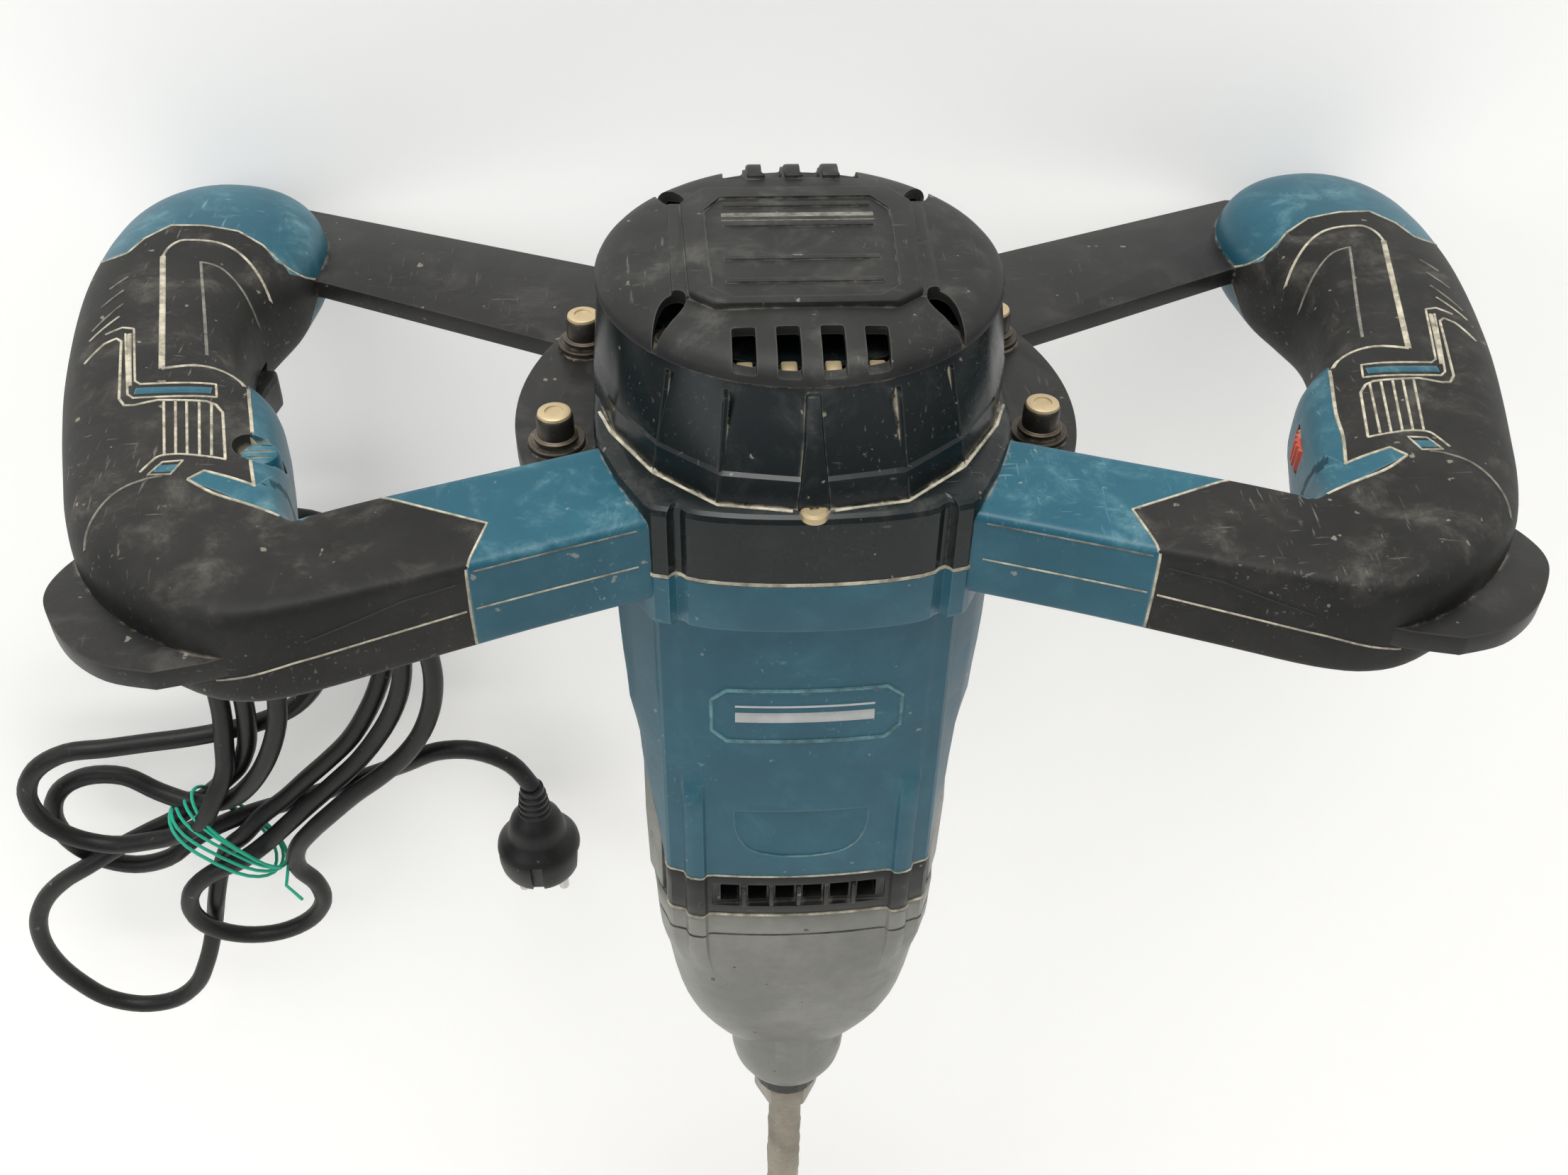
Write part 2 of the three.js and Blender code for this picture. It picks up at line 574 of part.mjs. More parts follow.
add("motor_shaft", "steel", motorShaft());
add("armature_core", "lamination", armatureCore());
add("commutator", "copper", tube(4 + GAP, 16, 8, 28, [0, 0], 24));
add("cooling_fan", "black", coolingFan());
add("stator_core", "lamination", statorCore());
add("field_coil_front", "copper", fieldCoil(-1));
add("field_coil_rear", "copper", fieldCoil(1));
add("carbon_brush_left", "carbon", box([-50.2, -4, 14], [-16.6, 4, 22]));
add("carbon_brush_right", "carbon", box([16.6, -4, 14], [50.2, 4, 22]));
add("motor_bearing_upper", "steel", tube(4 + GAP, 11, 34.5, 42, [0, 0], 20));
add("motor_bearing_lower", "steel", tube(4 + GAP, 11, -162.2, -155.4, [0, 0], 20));

add("countershaft", "steel", countershaft());
add("countershaft_gear", "steel", gear(TEETH.counter, PITCH.counter, 1.4, 4 + GAP, -181.5, -173, COUNTER));
add("output_gear", "steel", gear(TEETH.output, PITCH.output, 1.8, 8.2 + GAP, -195.5, -185.5, SPINDLE));
add("output_spindle", "bolt", outputSpindle());
add("spindle_bearing_upper", "steel", tube(7.5 + GAP, 13, -165.7, -158.5, SPINDLE, 20));
add("spindle_bearing_lower", "steel", tube(8.2 + GAP, 17.5, -262, -252, SPINDLE, 24));
add("spindle_seal", "rubber", tube(8.2 + GAP, 12.1, NOSE_Z, -277, SPINDLE, 20));

add("paddle_shaft", "dusty", paddleShaft());
add("paddle_nut", "dusty", paddleNut());
add("paddle_ring", "dusty", paddleRing());
[20, 140, 260].forEach((start, i) => add("paddle_blade_" + (i + 1), "dusty", paddleBlade(start)));

handlePieces(-1, "left", "teal");
handlePieces(1, "right", "teal");
add("trigger", "black", trigger(), -1);
add("switch_body", "black", box([-201, -4, -14], [-187, 38, 14]));
add("lock_button", "teal", lockButton(), -1);
add("speed_dial", "red", speedDial());
add("speed_controller", "black", box([174, -8, -13], [198, 40, 13]));

add("cord_gland", "rubber", gland());
add("cord_lead", "rubber", swept(LEAD, CORD_R, 8, 6));
add("cord_hank", "rubber", hank());
add("cord_tail", "rubber", swept(TAIL, CORD_R, 8, 10));
add("string_tie", "green", stringTie());
add("mains_plug", "rubber", plugBody());
add("plug_pin_left", "steel", plugPin(-1));
add("plug_pin_right", "steel", plugPin(1));

export default mixer;
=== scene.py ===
"""A corded paddle mixer with two D-shaped handles, upright in front of a pale wall.

Lengths are millimetres here and are scaled to metres as each mesh is made. +Z is up, -Y is the front, and the origin
is the middle of the frame plate.
"""

import math

import bmesh
import bpy
from mathutils import Matrix, Vector, noise
from mathutils.bvhtree import BVHTree


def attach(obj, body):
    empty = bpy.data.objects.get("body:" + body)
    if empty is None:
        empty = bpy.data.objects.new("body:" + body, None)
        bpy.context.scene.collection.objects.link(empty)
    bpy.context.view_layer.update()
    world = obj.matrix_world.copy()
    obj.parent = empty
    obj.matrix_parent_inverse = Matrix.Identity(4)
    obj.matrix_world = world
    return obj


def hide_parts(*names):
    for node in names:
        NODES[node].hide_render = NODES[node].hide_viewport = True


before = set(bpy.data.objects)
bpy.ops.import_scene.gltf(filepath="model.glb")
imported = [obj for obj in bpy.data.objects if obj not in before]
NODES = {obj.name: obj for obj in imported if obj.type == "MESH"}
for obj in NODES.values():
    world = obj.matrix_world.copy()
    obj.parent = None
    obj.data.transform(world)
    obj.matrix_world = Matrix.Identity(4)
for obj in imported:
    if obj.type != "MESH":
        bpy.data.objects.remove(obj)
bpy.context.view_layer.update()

MM = 0.001  # metres in a millimetre
SPINDLE = (0.0, -36.0)
COUNTERSHAFT = (16.1, -11.9)
BUTTON_AT = (-148, -36)
DIAL_AT = (156, -30)


# ---- camera ----
CAMERA_AT = Vector((-29.5, -389.5, 272.5))
SENSOR = 36.0
FOCAL, WIDTH = 2232, 2212  # the focal length and the picture's width, in the same unit
YAW, PITCH, ROLL = math.radians(3.97), math.radians(41.1), math.radians(1.24)


def make_camera():
    data = bpy.data.cameras.new("camera")
    data.sensor_width = SENSOR
    data.lens = SENSOR * FOCAL / WIDTH
    data.clip_start = 0.02
    data.clip_end = 20
    camera = bpy.data.objects.new("camera", data)
    forward = Vector((math.sin(YAW) * math.cos(PITCH), math.cos(YAW) * math.cos(PITCH), -math.sin(PITCH)))
    right = Vector((math.cos(YAW), -math.sin(YAW), 0))
    up = right.cross(forward)
    turned_right = math.cos(ROLL) * right + math.sin(ROLL) * up
    turned_up = -math.sin(ROLL) * right + math.cos(ROLL) * up
    axes = Matrix((turned_right, turned_up, -forward)).transposed()
    camera.matrix_world = Matrix.Translation(CAMERA_AT * MM) @ axes.to_4x4()
    bpy.context.scene.collection.objects.link(camera)
    bpy.context.scene.camera = camera


make_camera()


# ---- node materials ----
class Shader:
    """A material being wired up, with short names for the nodes that it uses."""

    def __init__(self, name):
        self.material = bpy.data.materials.new(name)
        self.material.use_nodes = True
        self.tree = self.material.node_tree
        self.principled = self.tree.nodes["Principled BSDF"]
        self.place = self.node("ShaderNodeTexCoord").outputs["Object"]

    def node(self, kind, **settings):
        made = self.tree.nodes.new(kind)
        for key, value in settings.items():
            setattr(made, key, value)
        return made

    def link(self, value, socket):
        if isinstance(value, bpy.types.NodeSocket):
            self.tree.links.new(value, socket)
        else:
            socket.default_value = value

    def set(self, name, value):
        self.link(value, self.principled.inputs[name])

    def math(self, operation, a, b=0.0, clamp=False):
        made = self.node("ShaderNodeMath", operation=operation, use_clamp=clamp)
        self.link(a, made.inputs[0])
        self.link(b, made.inputs[1])
        return made.outputs[0]

    def ramp(self, value, low, high, start=0.0, end=1.0):
        made = self.node("ShaderNodeMapRange", clamp=True, interpolation_type="SMOOTHSTEP")
        for socket, number in zip(made.inputs, (value, low, high, start, end)):
            self.link(number, socket)
        return made.outputs[0]

    def mix(self, share, a, b):
        made = self.node("ShaderNodeMix", data_type="RGBA", blend_type="MIX")
        self.link(share, made.inputs[0])
        for value, socket in ((a, made.inputs[6]), (b, made.inputs[7])):
            self.link((*value, 1.0) if isinstance(value, tuple) else value, socket)
        return made.outputs[2]

    def stretched(self, scale, turn=(0, 0, 0)):
        made = self.node("ShaderNodeMapping")
        self.link(self.place, made.inputs["Vector"])
        made.inputs["Rotation"].default_value = turn
        made.inputs["Scale"].default_value = scale
        return made.outputs[0]

    def noise(self, scale, detail=4.0, rough=0.6, place=None, distortion=0.0):
        made = self.node("ShaderNodeTexNoise")
        self.link(place or self.place, made.inputs["Vector"])
        for key, value in (("Scale", scale), ("Detail", detail), ("Roughness", rough), ("Distortion", distortion)):
            made.inputs[key].default_value = value
        return made.outputs["Fac"]

    def crevice(self, distance):
        """1 in corners and gaps, 0 on open faces."""
        made = self.node("ShaderNodeAmbientOcclusion", samples=6, only_local=False)
        made.inputs["Distance"].default_value = distance * MM
        return self.math("SUBTRACT", 1.0, made.outputs["AO"])

    def edges(self, radius):
        """Above 0 near sharp edges."""
        made = self.node("ShaderNodeBevel", samples=6)
        made.inputs["Radius"].default_value = radius * MM
        around = self.node("ShaderNodeVectorMath", operation="DOT_PRODUCT")
        self.link(made.outputs[0], around.inputs[0])
        self.link(self.node("ShaderNodeNewGeometry").outputs["Normal"], around.inputs[1])
        return self.math("SUBTRACT", 1.0, around.outputs["Value"])

    def upward(self):
        parts = self.node("ShaderNodeSeparateXYZ")
        self.link(self.node("ShaderNodeNewGeometry").outputs["Normal"], parts.inputs[0])
        return parts.outputs[2]

    def bump(self, height, strength, distance, below=None):
        made = self.node("ShaderNodeBump")
        made.inputs["Strength"].default_value = strength
        made.inputs["Distance"].default_value = distance * MM
        self.link(height, made.inputs["Height"])
        if below is not None:
            self.link(below, made.inputs["Normal"])
        return made.outputs[0]


MORTAR = (0.58, 0.52, 0.40)


def worn(name, base, rough, metal=0.0, pale=None, dust=0.35, mortar=0.6, scuff=0.4, wear=0.35, grain=0.5, coat=0.0,
         worn_to=None, dust_and_top_light_colour=(0.36, 0.34, 0.29), specks=0.3, shine=0.4,
         speck_colour=MORTAR):
    """A moulded or painted surface: blotchy, with dust and painted top light on upward faces, mortar in corners,
    scuffs and worn edges.
    """
    s = Shader(name)
    pale = pale or tuple(min(1.0, c * 1.5 + 0.02) for c in base)
    colour = s.mix(s.ramp(s.noise(28, 6, 0.65), 0.3, 0.75), base, pale)
    film = s.ramp(s.noise(55, 9, 0.72, distortion=0.4), 0.48, 0.78)
    # upward faces shift toward the dust colour: partly real dust, partly a painted highlight standing in for light
    # from above
    top = s.ramp(s.upward(), 0.0, 0.9, 0.22, 1.0)
    colour = s.mix(s.math("MULTIPLY", s.math("MULTIPLY", film, top), dust), colour, dust_and_top_light_colour)
    marks = s.ramp(s.noise(1, 5, 0.55, s.stretched((900, 90, 500), (0.3, 0.2, 0.7))), 0.63, 0.70)
    marks = s.math("MAXIMUM", marks, s.ramp(s.noise(1, 4, 0.5, s.stretched((110, 1100, 600), (0, 0.4, -0.5))), 0.66,
        0.72))
    patches = s.ramp(s.noise(22, 3, 0.5), 0.45, 0.62)
    colour = s.mix(s.math("MULTIPLY", s.math("MULTIPLY", marks, patches), scuff), colour, dust_and_top_light_colour)
    dots = s.ramp(s.noise(260, 3, 0.4), 0.72, 0.76)
    colour = s.mix(s.math("MULTIPLY", dots, specks), colour, speck_colour)
    edge = s.ramp(s.math("ADD", s.edges(0.9), s.math("MULTIPLY", s.noise(240, 5), 0.10)), 0.10, 0.24)
    colour = s.mix(s.math("MULTIPLY", edge, wear), colour, worn_to or tuple(min(1.0, c * 1.6 + 0.09) for c in base))
    corner = s.math("MULTIPLY", s.crevice(2.6), s.ramp(s.noise(130, 6, 0.7), 0.3, 0.65, 0.35, 1.25))
    corner = s.ramp(corner, 0.42, 0.66)
    colour = s.mix(s.math("MULTIPLY", corner, mortar), colour, MORTAR)
    s.set("Base Color", colour)
    rougher = s.math("ADD", s.math("MULTIPLY", film, 0.22), s.math("MULTIPLY", corner, 0.3))
    s.set("Roughness", s.math("ADD", rough, rougher, clamp=True))
    s.set("Metallic", metal)
    s.set("Specular IOR Level", shine)
    s.set("Coat Weight", coat)
    s.set("Coat Roughness", 0.18)
    skin = s.bump(s.noise(1500, 3, 0.6), 0.25 * grain, 0.12)
    s.set("Normal", s.bump(s.noise(160, 6, 0.6), 0.3 * grain, 0.35, skin))
    return s.material


TEAL = (0.007, 0.072, 0.108)
INK = {
    # the teal's pale dust colour on upward faces is dust together with painted top light
    "teal": worn("teal_plastic", TEAL, 0.38, pale=(0.013, 0.100, 0.142), dust=0.75, dust_and_top_light_colour=(0.17, 0.32, 0.35),
                 shine=0.35,
                 worn_to=(0.20, 0.38, 0.42), mortar=0.75, scuff=0.45),
    "cap": worn("cap_plastic", (0.013, 0.013, 0.0125), 0.5, pale=(0.027, 0.027, 0.025), dust=0.36, grain=1.0,
                shine=0.25,
                dust_and_top_light_colour=(0.20, 0.195, 0.175), worn_to=(0.13, 0.13, 0.12), scuff=0.35, mortar=0.35),
    "gloss": worn("gloss_black", (0.003, 0.006, 0.007), 0.26, pale=(0.006, 0.009, 0.009), dust=0.34, grain=0.3,
                  shine=0.3,
                  dust_and_top_light_colour=(0.16, 0.16, 0.14), worn_to=(0.11, 0.11, 0.10), scuff=0.35, mortar=0.8, coat=0.04),
    "rubber": worn("grip_rubber", (0.010, 0.0098, 0.009), 0.55, pale=(0.023, 0.0222, 0.020), dust=0.55, grain=1.0,
                   shine=0.22,
                   dust_and_top_light_colour=(0.17, 0.16, 0.135), worn_to=(0.12, 0.115, 0.10), scuff=0.6, mortar=0.5),
    "casting": worn("grey_casting", (0.15, 0.15, 0.132), 0.38, metal=0.5, pale=(0.23, 0.23, 0.205), dust=0.3,
                    speck_colour=(0.04, 0.03, 0.02), specks=0.8,
                    dust_and_top_light_colour=(0.33, 0.31, 0.26), worn_to=(0.36, 0.36, 0.33), scuff=0.25, mortar=0.25, grain=0.8),
    "plate": worn("frame_plate", (0.009, 0.0088, 0.0085), 0.40, pale=(0.018, 0.0172, 0.016), dust=0.28, grain=0.8,
                  shine=0.3,
                  dust_and_top_light_colour=(0.15, 0.145, 0.13), worn_to=(0.10, 0.075, 0.05), wear=0.7, scuff=0.3, mortar=0.5),
    "band": worn("band_plastic", (0.007, 0.007, 0.007), 0.36, pale=(0.015, 0.015, 0.014), dust=0.2, shine=0.3,
                 scuff=0.3, mortar=0.4, grain=0.6,
                 dust_and_top_light_colour=(0.16, 0.155, 0.14), worn_to=(0.10, 0.10, 0.09)),
    "steel": worn("machine_steel", (0.42, 0.41, 0.38), 0.32, metal=0.9, dust=0.15, scuff=0.3, mortar=0.1),
    "bolt": worn("dark_steel", (0.045, 0.038, 0.030), 0.38, metal=0.8, dust=0.3, scuff=0.3, mortar=0.4,
                 worn_to=(0.34, 0.26, 0.15), wear=0.8),
    "brass": worn("worn_brass", (0.42, 0.33, 0.19), 0.40, metal=0.5, dust=0.35, mortar=0.4,
                  dust_and_top_light_colour=(0.42, 0.37, 0.26)),
    "copper": worn("copper_wire", (0.42, 0.16, 0.07), 0.35, metal=0.9, dust=0.25),
    "lamination": worn("steel_sheet", (0.20, 0.20, 0.21), 0.45, metal=0.8, dust=0.3),
    "carbon": worn("carbon_block", (0.02, 0.02, 0.022), 0.6, dust=0.1),
    "red": worn("red_plastic", (0.34, 0.045, 0.025), 0.42, dust=0.5, mortar=0.9, dust_and_top_light_colour=(0.36, 0.28, 0.2)),
    "cord": worn("cord_rubber", (0.005, 0.005, 0.005), 0.42, pale=(0.011, 0.011, 0.010), dust=0.18, scuff=0.2,
                 shine=0.3,
                 dust_and_top_light_colour=(0.12, 0.115, 0.10), mortar=0.0, wear=0.0, grain=0.5, specks=0.15),
    "string": worn("green_string", (0.01, 0.34, 0.20), 0.55, pale=(0.02, 0.45, 0.29), dust=0.15, mortar=0.0,
                   wear=0.0,
                   scuff=0.0, grain=0.4, specks=0.0, dust_and_top_light_colour=(0.2, 0.5, 0.4)),
    "nut": worn("worn_nut", (0.15, 0.13, 0.10), 0.34, metal=0.8, pale=(0.26, 0.235, 0.19), dust=0.4, wear=0.9,
                worn_to=(0.55, 0.5, 0.42)),
    "dusty": worn("mortar_steel", (0.15, 0.13, 0.10), 0.6, metal=0.3, pale=(0.36, 0.32, 0.25), dust=0.9,
                  dust_and_top_light_colour=(0.58, 0.53, 0.43), scuff=0.6, mortar=0.8, grain=1.8, specks=0.9),
    "silver": worn("silver_print", (0.34, 0.35, 0.34), 0.42, metal=0.3, dust=0.3, scuff=0.6, mortar=0.3),
}


def plain_line(name, colour, rough=0.85):
    s = Shader(name)
    s.set("Base Color", s.mix(s.ramp(s.noise(190, 6, 0.7), 0.3, 0.7), colour, tuple(c * 0.3 for c in colour)))
    s.set("Roughness", rough)
    s.set("Normal", s.bump(s.noise(900, 4), 0.4, 0.2))
    return s.material


INK["line"] = plain_line("dried_mortar", (0.60, 0.55, 0.42))
INK["pale_teal"] = plain_line("worn_teal_edge", (0.13, 0.30, 0.33), 0.6)
INK["faint"] = plain_line("dust_line", (0.24, 0.23, 0.19))
INK["dark"] = plain_line("shadow_groove", (0.006, 0.006, 0.006), 0.6)


# ---- meshes ----
def polish(data, sharp):
    """Smooth faces with sharp edges where neighbours meet at more than the angle sharp, in degrees."""
    mesh = bmesh.new()
    mesh.from_mesh(data)
    bmesh.ops.recalc_face_normals(mesh, faces=mesh.faces)
    limit = math.radians(sharp)
    for face in mesh.faces:
        face.smooth = True
    for edge in mesh.edges:
        edge.smooth = edge.is_manifold and edge.calc_face_angle(0) < limit
    mesh.to_mesh(data)
    mesh.free()


def scratch(verts, faces):
    """A new mesh object from points in millimetres."""
    data = bpy.data.meshes.new("scratch")
    data.from_pydata([tuple(c * MM for c in v) for v in verts], [], faces)
    mesh = bmesh.new()
    mesh.from_mesh(data)
    bmesh.ops.remove_doubles(mesh, verts=mesh.verts, dist=1e-7)
    bmesh.ops.recalc_face_normals(mesh, faces=mesh.faces)
    mesh.to_mesh(data)
    mesh.free()
    thing = bpy.data.objects.new("scratch", data)
    bpy.context.scene.collection.objects.link(thing)
    return thing


def applied(thing):
    """Bakes thing's modifiers into its mesh."""
    depsgraph = bpy.context.evaluated_depsgraph_get()
    baked = bpy.data.meshes.new_from_object(thing.evaluated_get(depsgraph))
    old = thing.data
    thing.modifiers.clear()
    thing.data = baked
    bpy.data.meshes.remove(old)
    return thing


def bevelled(thing, width, segments=2, angle=28):
    modifier = thing.modifiers.new("bevel", "BEVEL")
    modifier.width = width * MM
    modifier.segments = segments
    modifier.limit_method = "ANGLE"
    modifier.angle_limit = math.radians(angle)
    modifier.use_clamp_overlap = True
    return applied(thing)


def discard(thing):
    data = thing.data
    bpy.data.objects.remove(thing)
    bpy.data.meshes.remove(data)


def combine(thing, other, operation):
    """Joins, cuts or intersects thing with other, which is used up."""
    modifier = thing.modifiers.new("boolean", "BOOLEAN")
    modifier.object = other
    modifier.operation = operation
    modifier.solver = "MANIFOLD"
    applied(thing)
    discard(other)
    return thing


def cut(thing, *tools):
    for tool in tools:
        combine(thing, tool, "DIFFERENCE")
    return thing


def piece(thing, name, ink, body="mixer", replaces=(), sharp=32):
    thing.name = name
    thing.data.name = name
    thing.data.materials.clear()
    thing.data.materials.append(INK[ink])
    polish(thing.data, sharp)
    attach(thing, body)
    if replaces:
        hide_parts(*replaces)
    return thing


def loft(rings, capped=True, closed=True):
    """Faces through rings of points, each with the same number of points."""
    count = len(rings[0])
    verts = [point for ring in rings for point in ring]
    faces = []
    for i in range(len(rings) - 1):
        for j in range(count if closed else count - 1):
            k = (j + 1) % count
            faces.append((i * count + j, i * count + k, (i + 1) * count + k, (i + 1) * count + j))
    if capped:
        faces.append(tuple(range(count)))
        faces.append(tuple(range((len(rings) - 1) * count, len(rings) * count)))
    return scratch(verts, faces)


def prism(outline, low, high):
    return loft([[(x, y, low) for x, y in outline], [(x, y, high) for x, y in outline]])


def box(low, high):
    corners = [(low[0], low[1]), (high[0], low[1]), (high[0], high[1]), (low[0], high[1])]
    return prism(corners, low[2], high[2])


def arc(radius, start, end, steps, centre=(0, 0)):
    angles = [math.radians(start + (end - start) * i / steps) for i in range(steps + 1)]
    return [(centre[0] + radius * math.cos(a), centre[1] + radius * math.sin(a)) for a in angles]


def circle(radius, sides=64, centre=(0, 0)):
    return arc(radius, 0, 360, sides, centre)[:-1]


def rod(radius, sides, low, high, at=(0, 0)):
    return prism(circle(radius, sides, at), low, high)


def turned(section, axis=(0, 0), sides=72):
    """A turned solid from (radius, height) corners; a section that starts and ends on the axis is closed by it."""
    on_axis = section[0][0] == 0
    inner = section[1:-1] if on_axis else section
    rings = [[(x, y, z) for x, y in circle(max(r, 1e-4), sides, axis)] for r, z in inner]
    if on_axis:
        return loft(rings)
    return loft(rings + rings[:1], capped=False)


def drawn_in(outline, by, size, z):
    """The outline at height z, drawn in by about by millimetres where it is size from the axis."""
    return [(p[0] * (1 - by / size), p[1] * (1 - by / size), z) for p in outline]


def mirrored(half):
    return half + [(-x, y) for x, y in reversed(half) if x > 0]


def smooth(points, steps=8, closed=False):
    """A Catmull-Rom line through points of any dimension."""
    count = len(points)
    made = []
    for i in range(count if closed else count - 1):
        a, b, c, d = (
            points[(i + k) % count] if closed else points[min(max(i + k, 0), count - 1)] for k in (-1, 0, 1, 2)
        )
        for j in range(steps):
            t = j / steps
            made.append(tuple(
                0.5 * (2 * q + (r - p) * t + (2 * p - 5 * q + 4 * r - s) * t * t + (3 * q - p - 3 * r + s) * t ** 3)
                for p, q, r, s in zip(a, b, c, d)
            ))
    if not closed:
        made.append(tuple(points[-1]))
    return made


def dense(points, step):
    """The same line with a point at least every step millimetres."""
    made = []
    for a, b in zip(points, points[1:]):
        parts = max(1, math.ceil(math.dist(a, b) / step))
        made += [tuple(p + (q - p) * i / parts for p, q in zip(a, b)) for i in range(parts)]
    return made + [tuple(points[-1])]


def pipe(points, radius, sides=10):
    """A round tube along points; radius is a number, or one for each point."""
    radii = radius if isinstance(radius, list) else [radius] * len(points)
    line = [Vector(p) for p in points]
    rings = []
    side = None
    for i, at in enumerate(line):
        ahead = (line[min(i + 1, len(line) - 1)] - line[max(i - 1, 0)]).normalized()
        if side is None:
            side = ahead.orthogonal().normalized()
        side = (side - ahead * side.dot(ahead)).normalized()
        other = ahead.cross(side)
        turns = [math.tau * k / sides for k in range(sides)]
        rings.append([tuple(at + radii[i] * (math.cos(a) * side + math.sin(a) * other)) for a in turns])
    return loft(rings)


def strip(spots, width, lift):
    """A thin raised line through (point, normal) pairs, in millimetres, that already lie on a surface."""
    rows = []
    for i, (at, normal) in enumerate(spots):
        ahead = spots[min(i + 1, len(spots) - 1)][0] - spots[max(i - 1, 0)][0]
        across = ahead.cross(normal).normalized() * width / 2
        rows.append([tuple(at + across * s + normal * (lift if abs(s) < 1 else -0.3)) for s in (-1, -0.5, 0.5, 1)])
    return loft(rows)


RIBBON_STEP = 1.5  # millimetres between the rows of a ribbon


def ribbon(targets, points, width, toward, lift=0.25, closed=False):
    """A thin raised line that lies on the target objects' surface, found by looking along toward from outside."""
    trees = [BVHTree.FromObject(t, bpy.context.evaluated_depsgraph_get()) for t in targets]
    toward = Vector(toward).normalized()
    line = [Vector(p) for p in dense(list(points) + ([points[0]] if closed else []), RIBBON_STEP)]
    strips = []
    for i, at in enumerate(line):
        ahead = line[min(i + 1, len(line) - 1)] - line[max(i - 1, 0)]
        if closed and i in (0, len(line) - 1):
            ahead = line[1] - line[-2]
        ahead -= toward * ahead.dot(toward)
        across = ahead.cross(toward).normalized() * width / 2
        row = []
        for side in (-1, -0.5, 0.5, 1):
            start = (at + across * side) * MM - toward * 0.12
            hits = [hit for hit in (tree.ray_cast(start, toward, 0.3) for tree in trees) if hit[0] is not None]
            if not hits:
                row = None
                break
            spot = min(hits, key=lambda hit: hit[3])
            height = lift if abs(side) < 1 else -0.3
            row.append(spot[0] / MM + spot[1].normalized() * height)
        if row:
            strips.append(row)
    return loft([[tuple(p) for p in row] for row in strips])


# ---- stage and lights ----
WALL_Y = 134.5
FLOOR_Z = -868.0


def make_stage():
    pale = Shader("pale_wall")
    pale.set("Base Color", (0.86, 0.85, 0.83, 1.0))
    pale.set("Roughness", 0.9)
    pale.set("Emission Color", (1.0, 0.99, 0.96, 1.0))
    pale.set("Emission Strength", 0.22)
    pale.set("Normal", pale.bump(pale.noise(60, 5), 0.12, 0.6))
    sides = pale.node("ShaderNodeNewGeometry").outputs["Backfacing"]
    mixed = pale.node("ShaderNodeMixShader")
    pale.link(sides, mixed.inputs[0])
    pale.link(pale.principled.outputs[0], mixed.inputs[1])
    pale.link(pale.node("ShaderNodeBsdfTransparent").outputs[0], mixed.inputs[2])
    pale.link(mixed.outputs[0], pale.tree.nodes["Material Output"].inputs["Surface"])
    ground = Shader("pale_floor")
    ground.set("Base Color", (0.84, 0.83, 0.81, 1.0))
    ground.set("Roughness", 0.8)
    ground.set("Emission Color", (1.0, 0.99, 0.96, 1.0))
    ground.set("Emission Strength", 0.12)
    ground.set("Normal", ground.bump(ground.noise(40, 5), 0.1, 0.6))
    half, top = 3000, 2200
    wall = [(-half, WALL_Y, FLOOR_Z), (half, WALL_Y, FLOOR_Z), (half, WALL_Y, top), (-half, WALL_Y, top)]
    floor = [(-half, -half, FLOOR_Z), (half, -half, FLOOR_Z), (half, half, FLOOR_Z), (-half, half, FLOOR_Z)]
    for name, corners, shader in (("wall", wall, pale), ("floor", floor, ground)):
        data = bpy.data.meshes.new(name)
        data.from_pydata([tuple(c * MM for c in corner) for corner in corners], [], [(0, 1, 2, 3)])
        data.materials.append(shader.material)
        thing = bpy.data.objects.new(name, data)
        bpy.context.scene.collection.objects.link(thing)


def area_light(name, at, aim, size, power, colour=(1, 1, 1)):
    data = bpy.data.lights.new(name, "AREA")
    data.shape = "RECTANGLE"
    data.size, data.size_y = size
    data.energy = power
    data.color = colour
    light = bpy.data.objects.new(name, data)
    light.location = at
    light.rotation_mode = "QUATERNION"
    light.rotation_quaternion = (Vector(aim) - Vector(at)).to_track_quat("-Z", "Y")
    bpy.context.scene.collection.objects.link(light)


def make_lights():
    world = bpy.data.worlds.new("studio")
    world.use_nodes = True
    background = world.node_tree.nodes["Background"]
    background.inputs["Color"].default_value = (0.95, 0.97, 1.0, 1.0)
    tree = world.node_tree
    ways = tree.nodes.new("ShaderNodeSeparateXYZ")
    tree.links.new(tree.nodes.new("ShaderNodeTexCoord").outputs["Generated"], ways.inputs[0])
    height = tree.nodes.new("ShaderNodeMapRange")
    for socket, number in zip(list(height.inputs)[1:5], (-0.1, 0.85, 0.20, 1.05)):
        socket.default_value = number
    tree.links.new(ways.outputs[2], height.inputs[0])
    tree.links.new(height.outputs[0], background.inputs["Strength"])
    bpy.context.scene.world = world
    area_light("ceiling", (-0.3, -0.22, 1.9), (0, 0, -0.1), (1.6, 1.0), 36, (1.0, 0.99, 0.96))
    area_light("left_fill", (-1.5, -1.2, 0.5), (0, 0, -0.15), (1.0, 1.0), 4.5, (0.95, 0.98, 1.0))
    bpy.context.scene.view_settings.view_transform = "Standard"
    bpy.context.scene.view_settings.look = "None"


make_stage()
make_lights()


# ---- the mains cord ----
CORD_R = 4.25
CORD_STEPS = 4  # parts that each stretch of the route is divided into
GLAND = (-188.0, 96.0)
PLUG = (-109.0, 100.0)
PLUG_TOP = -272.0

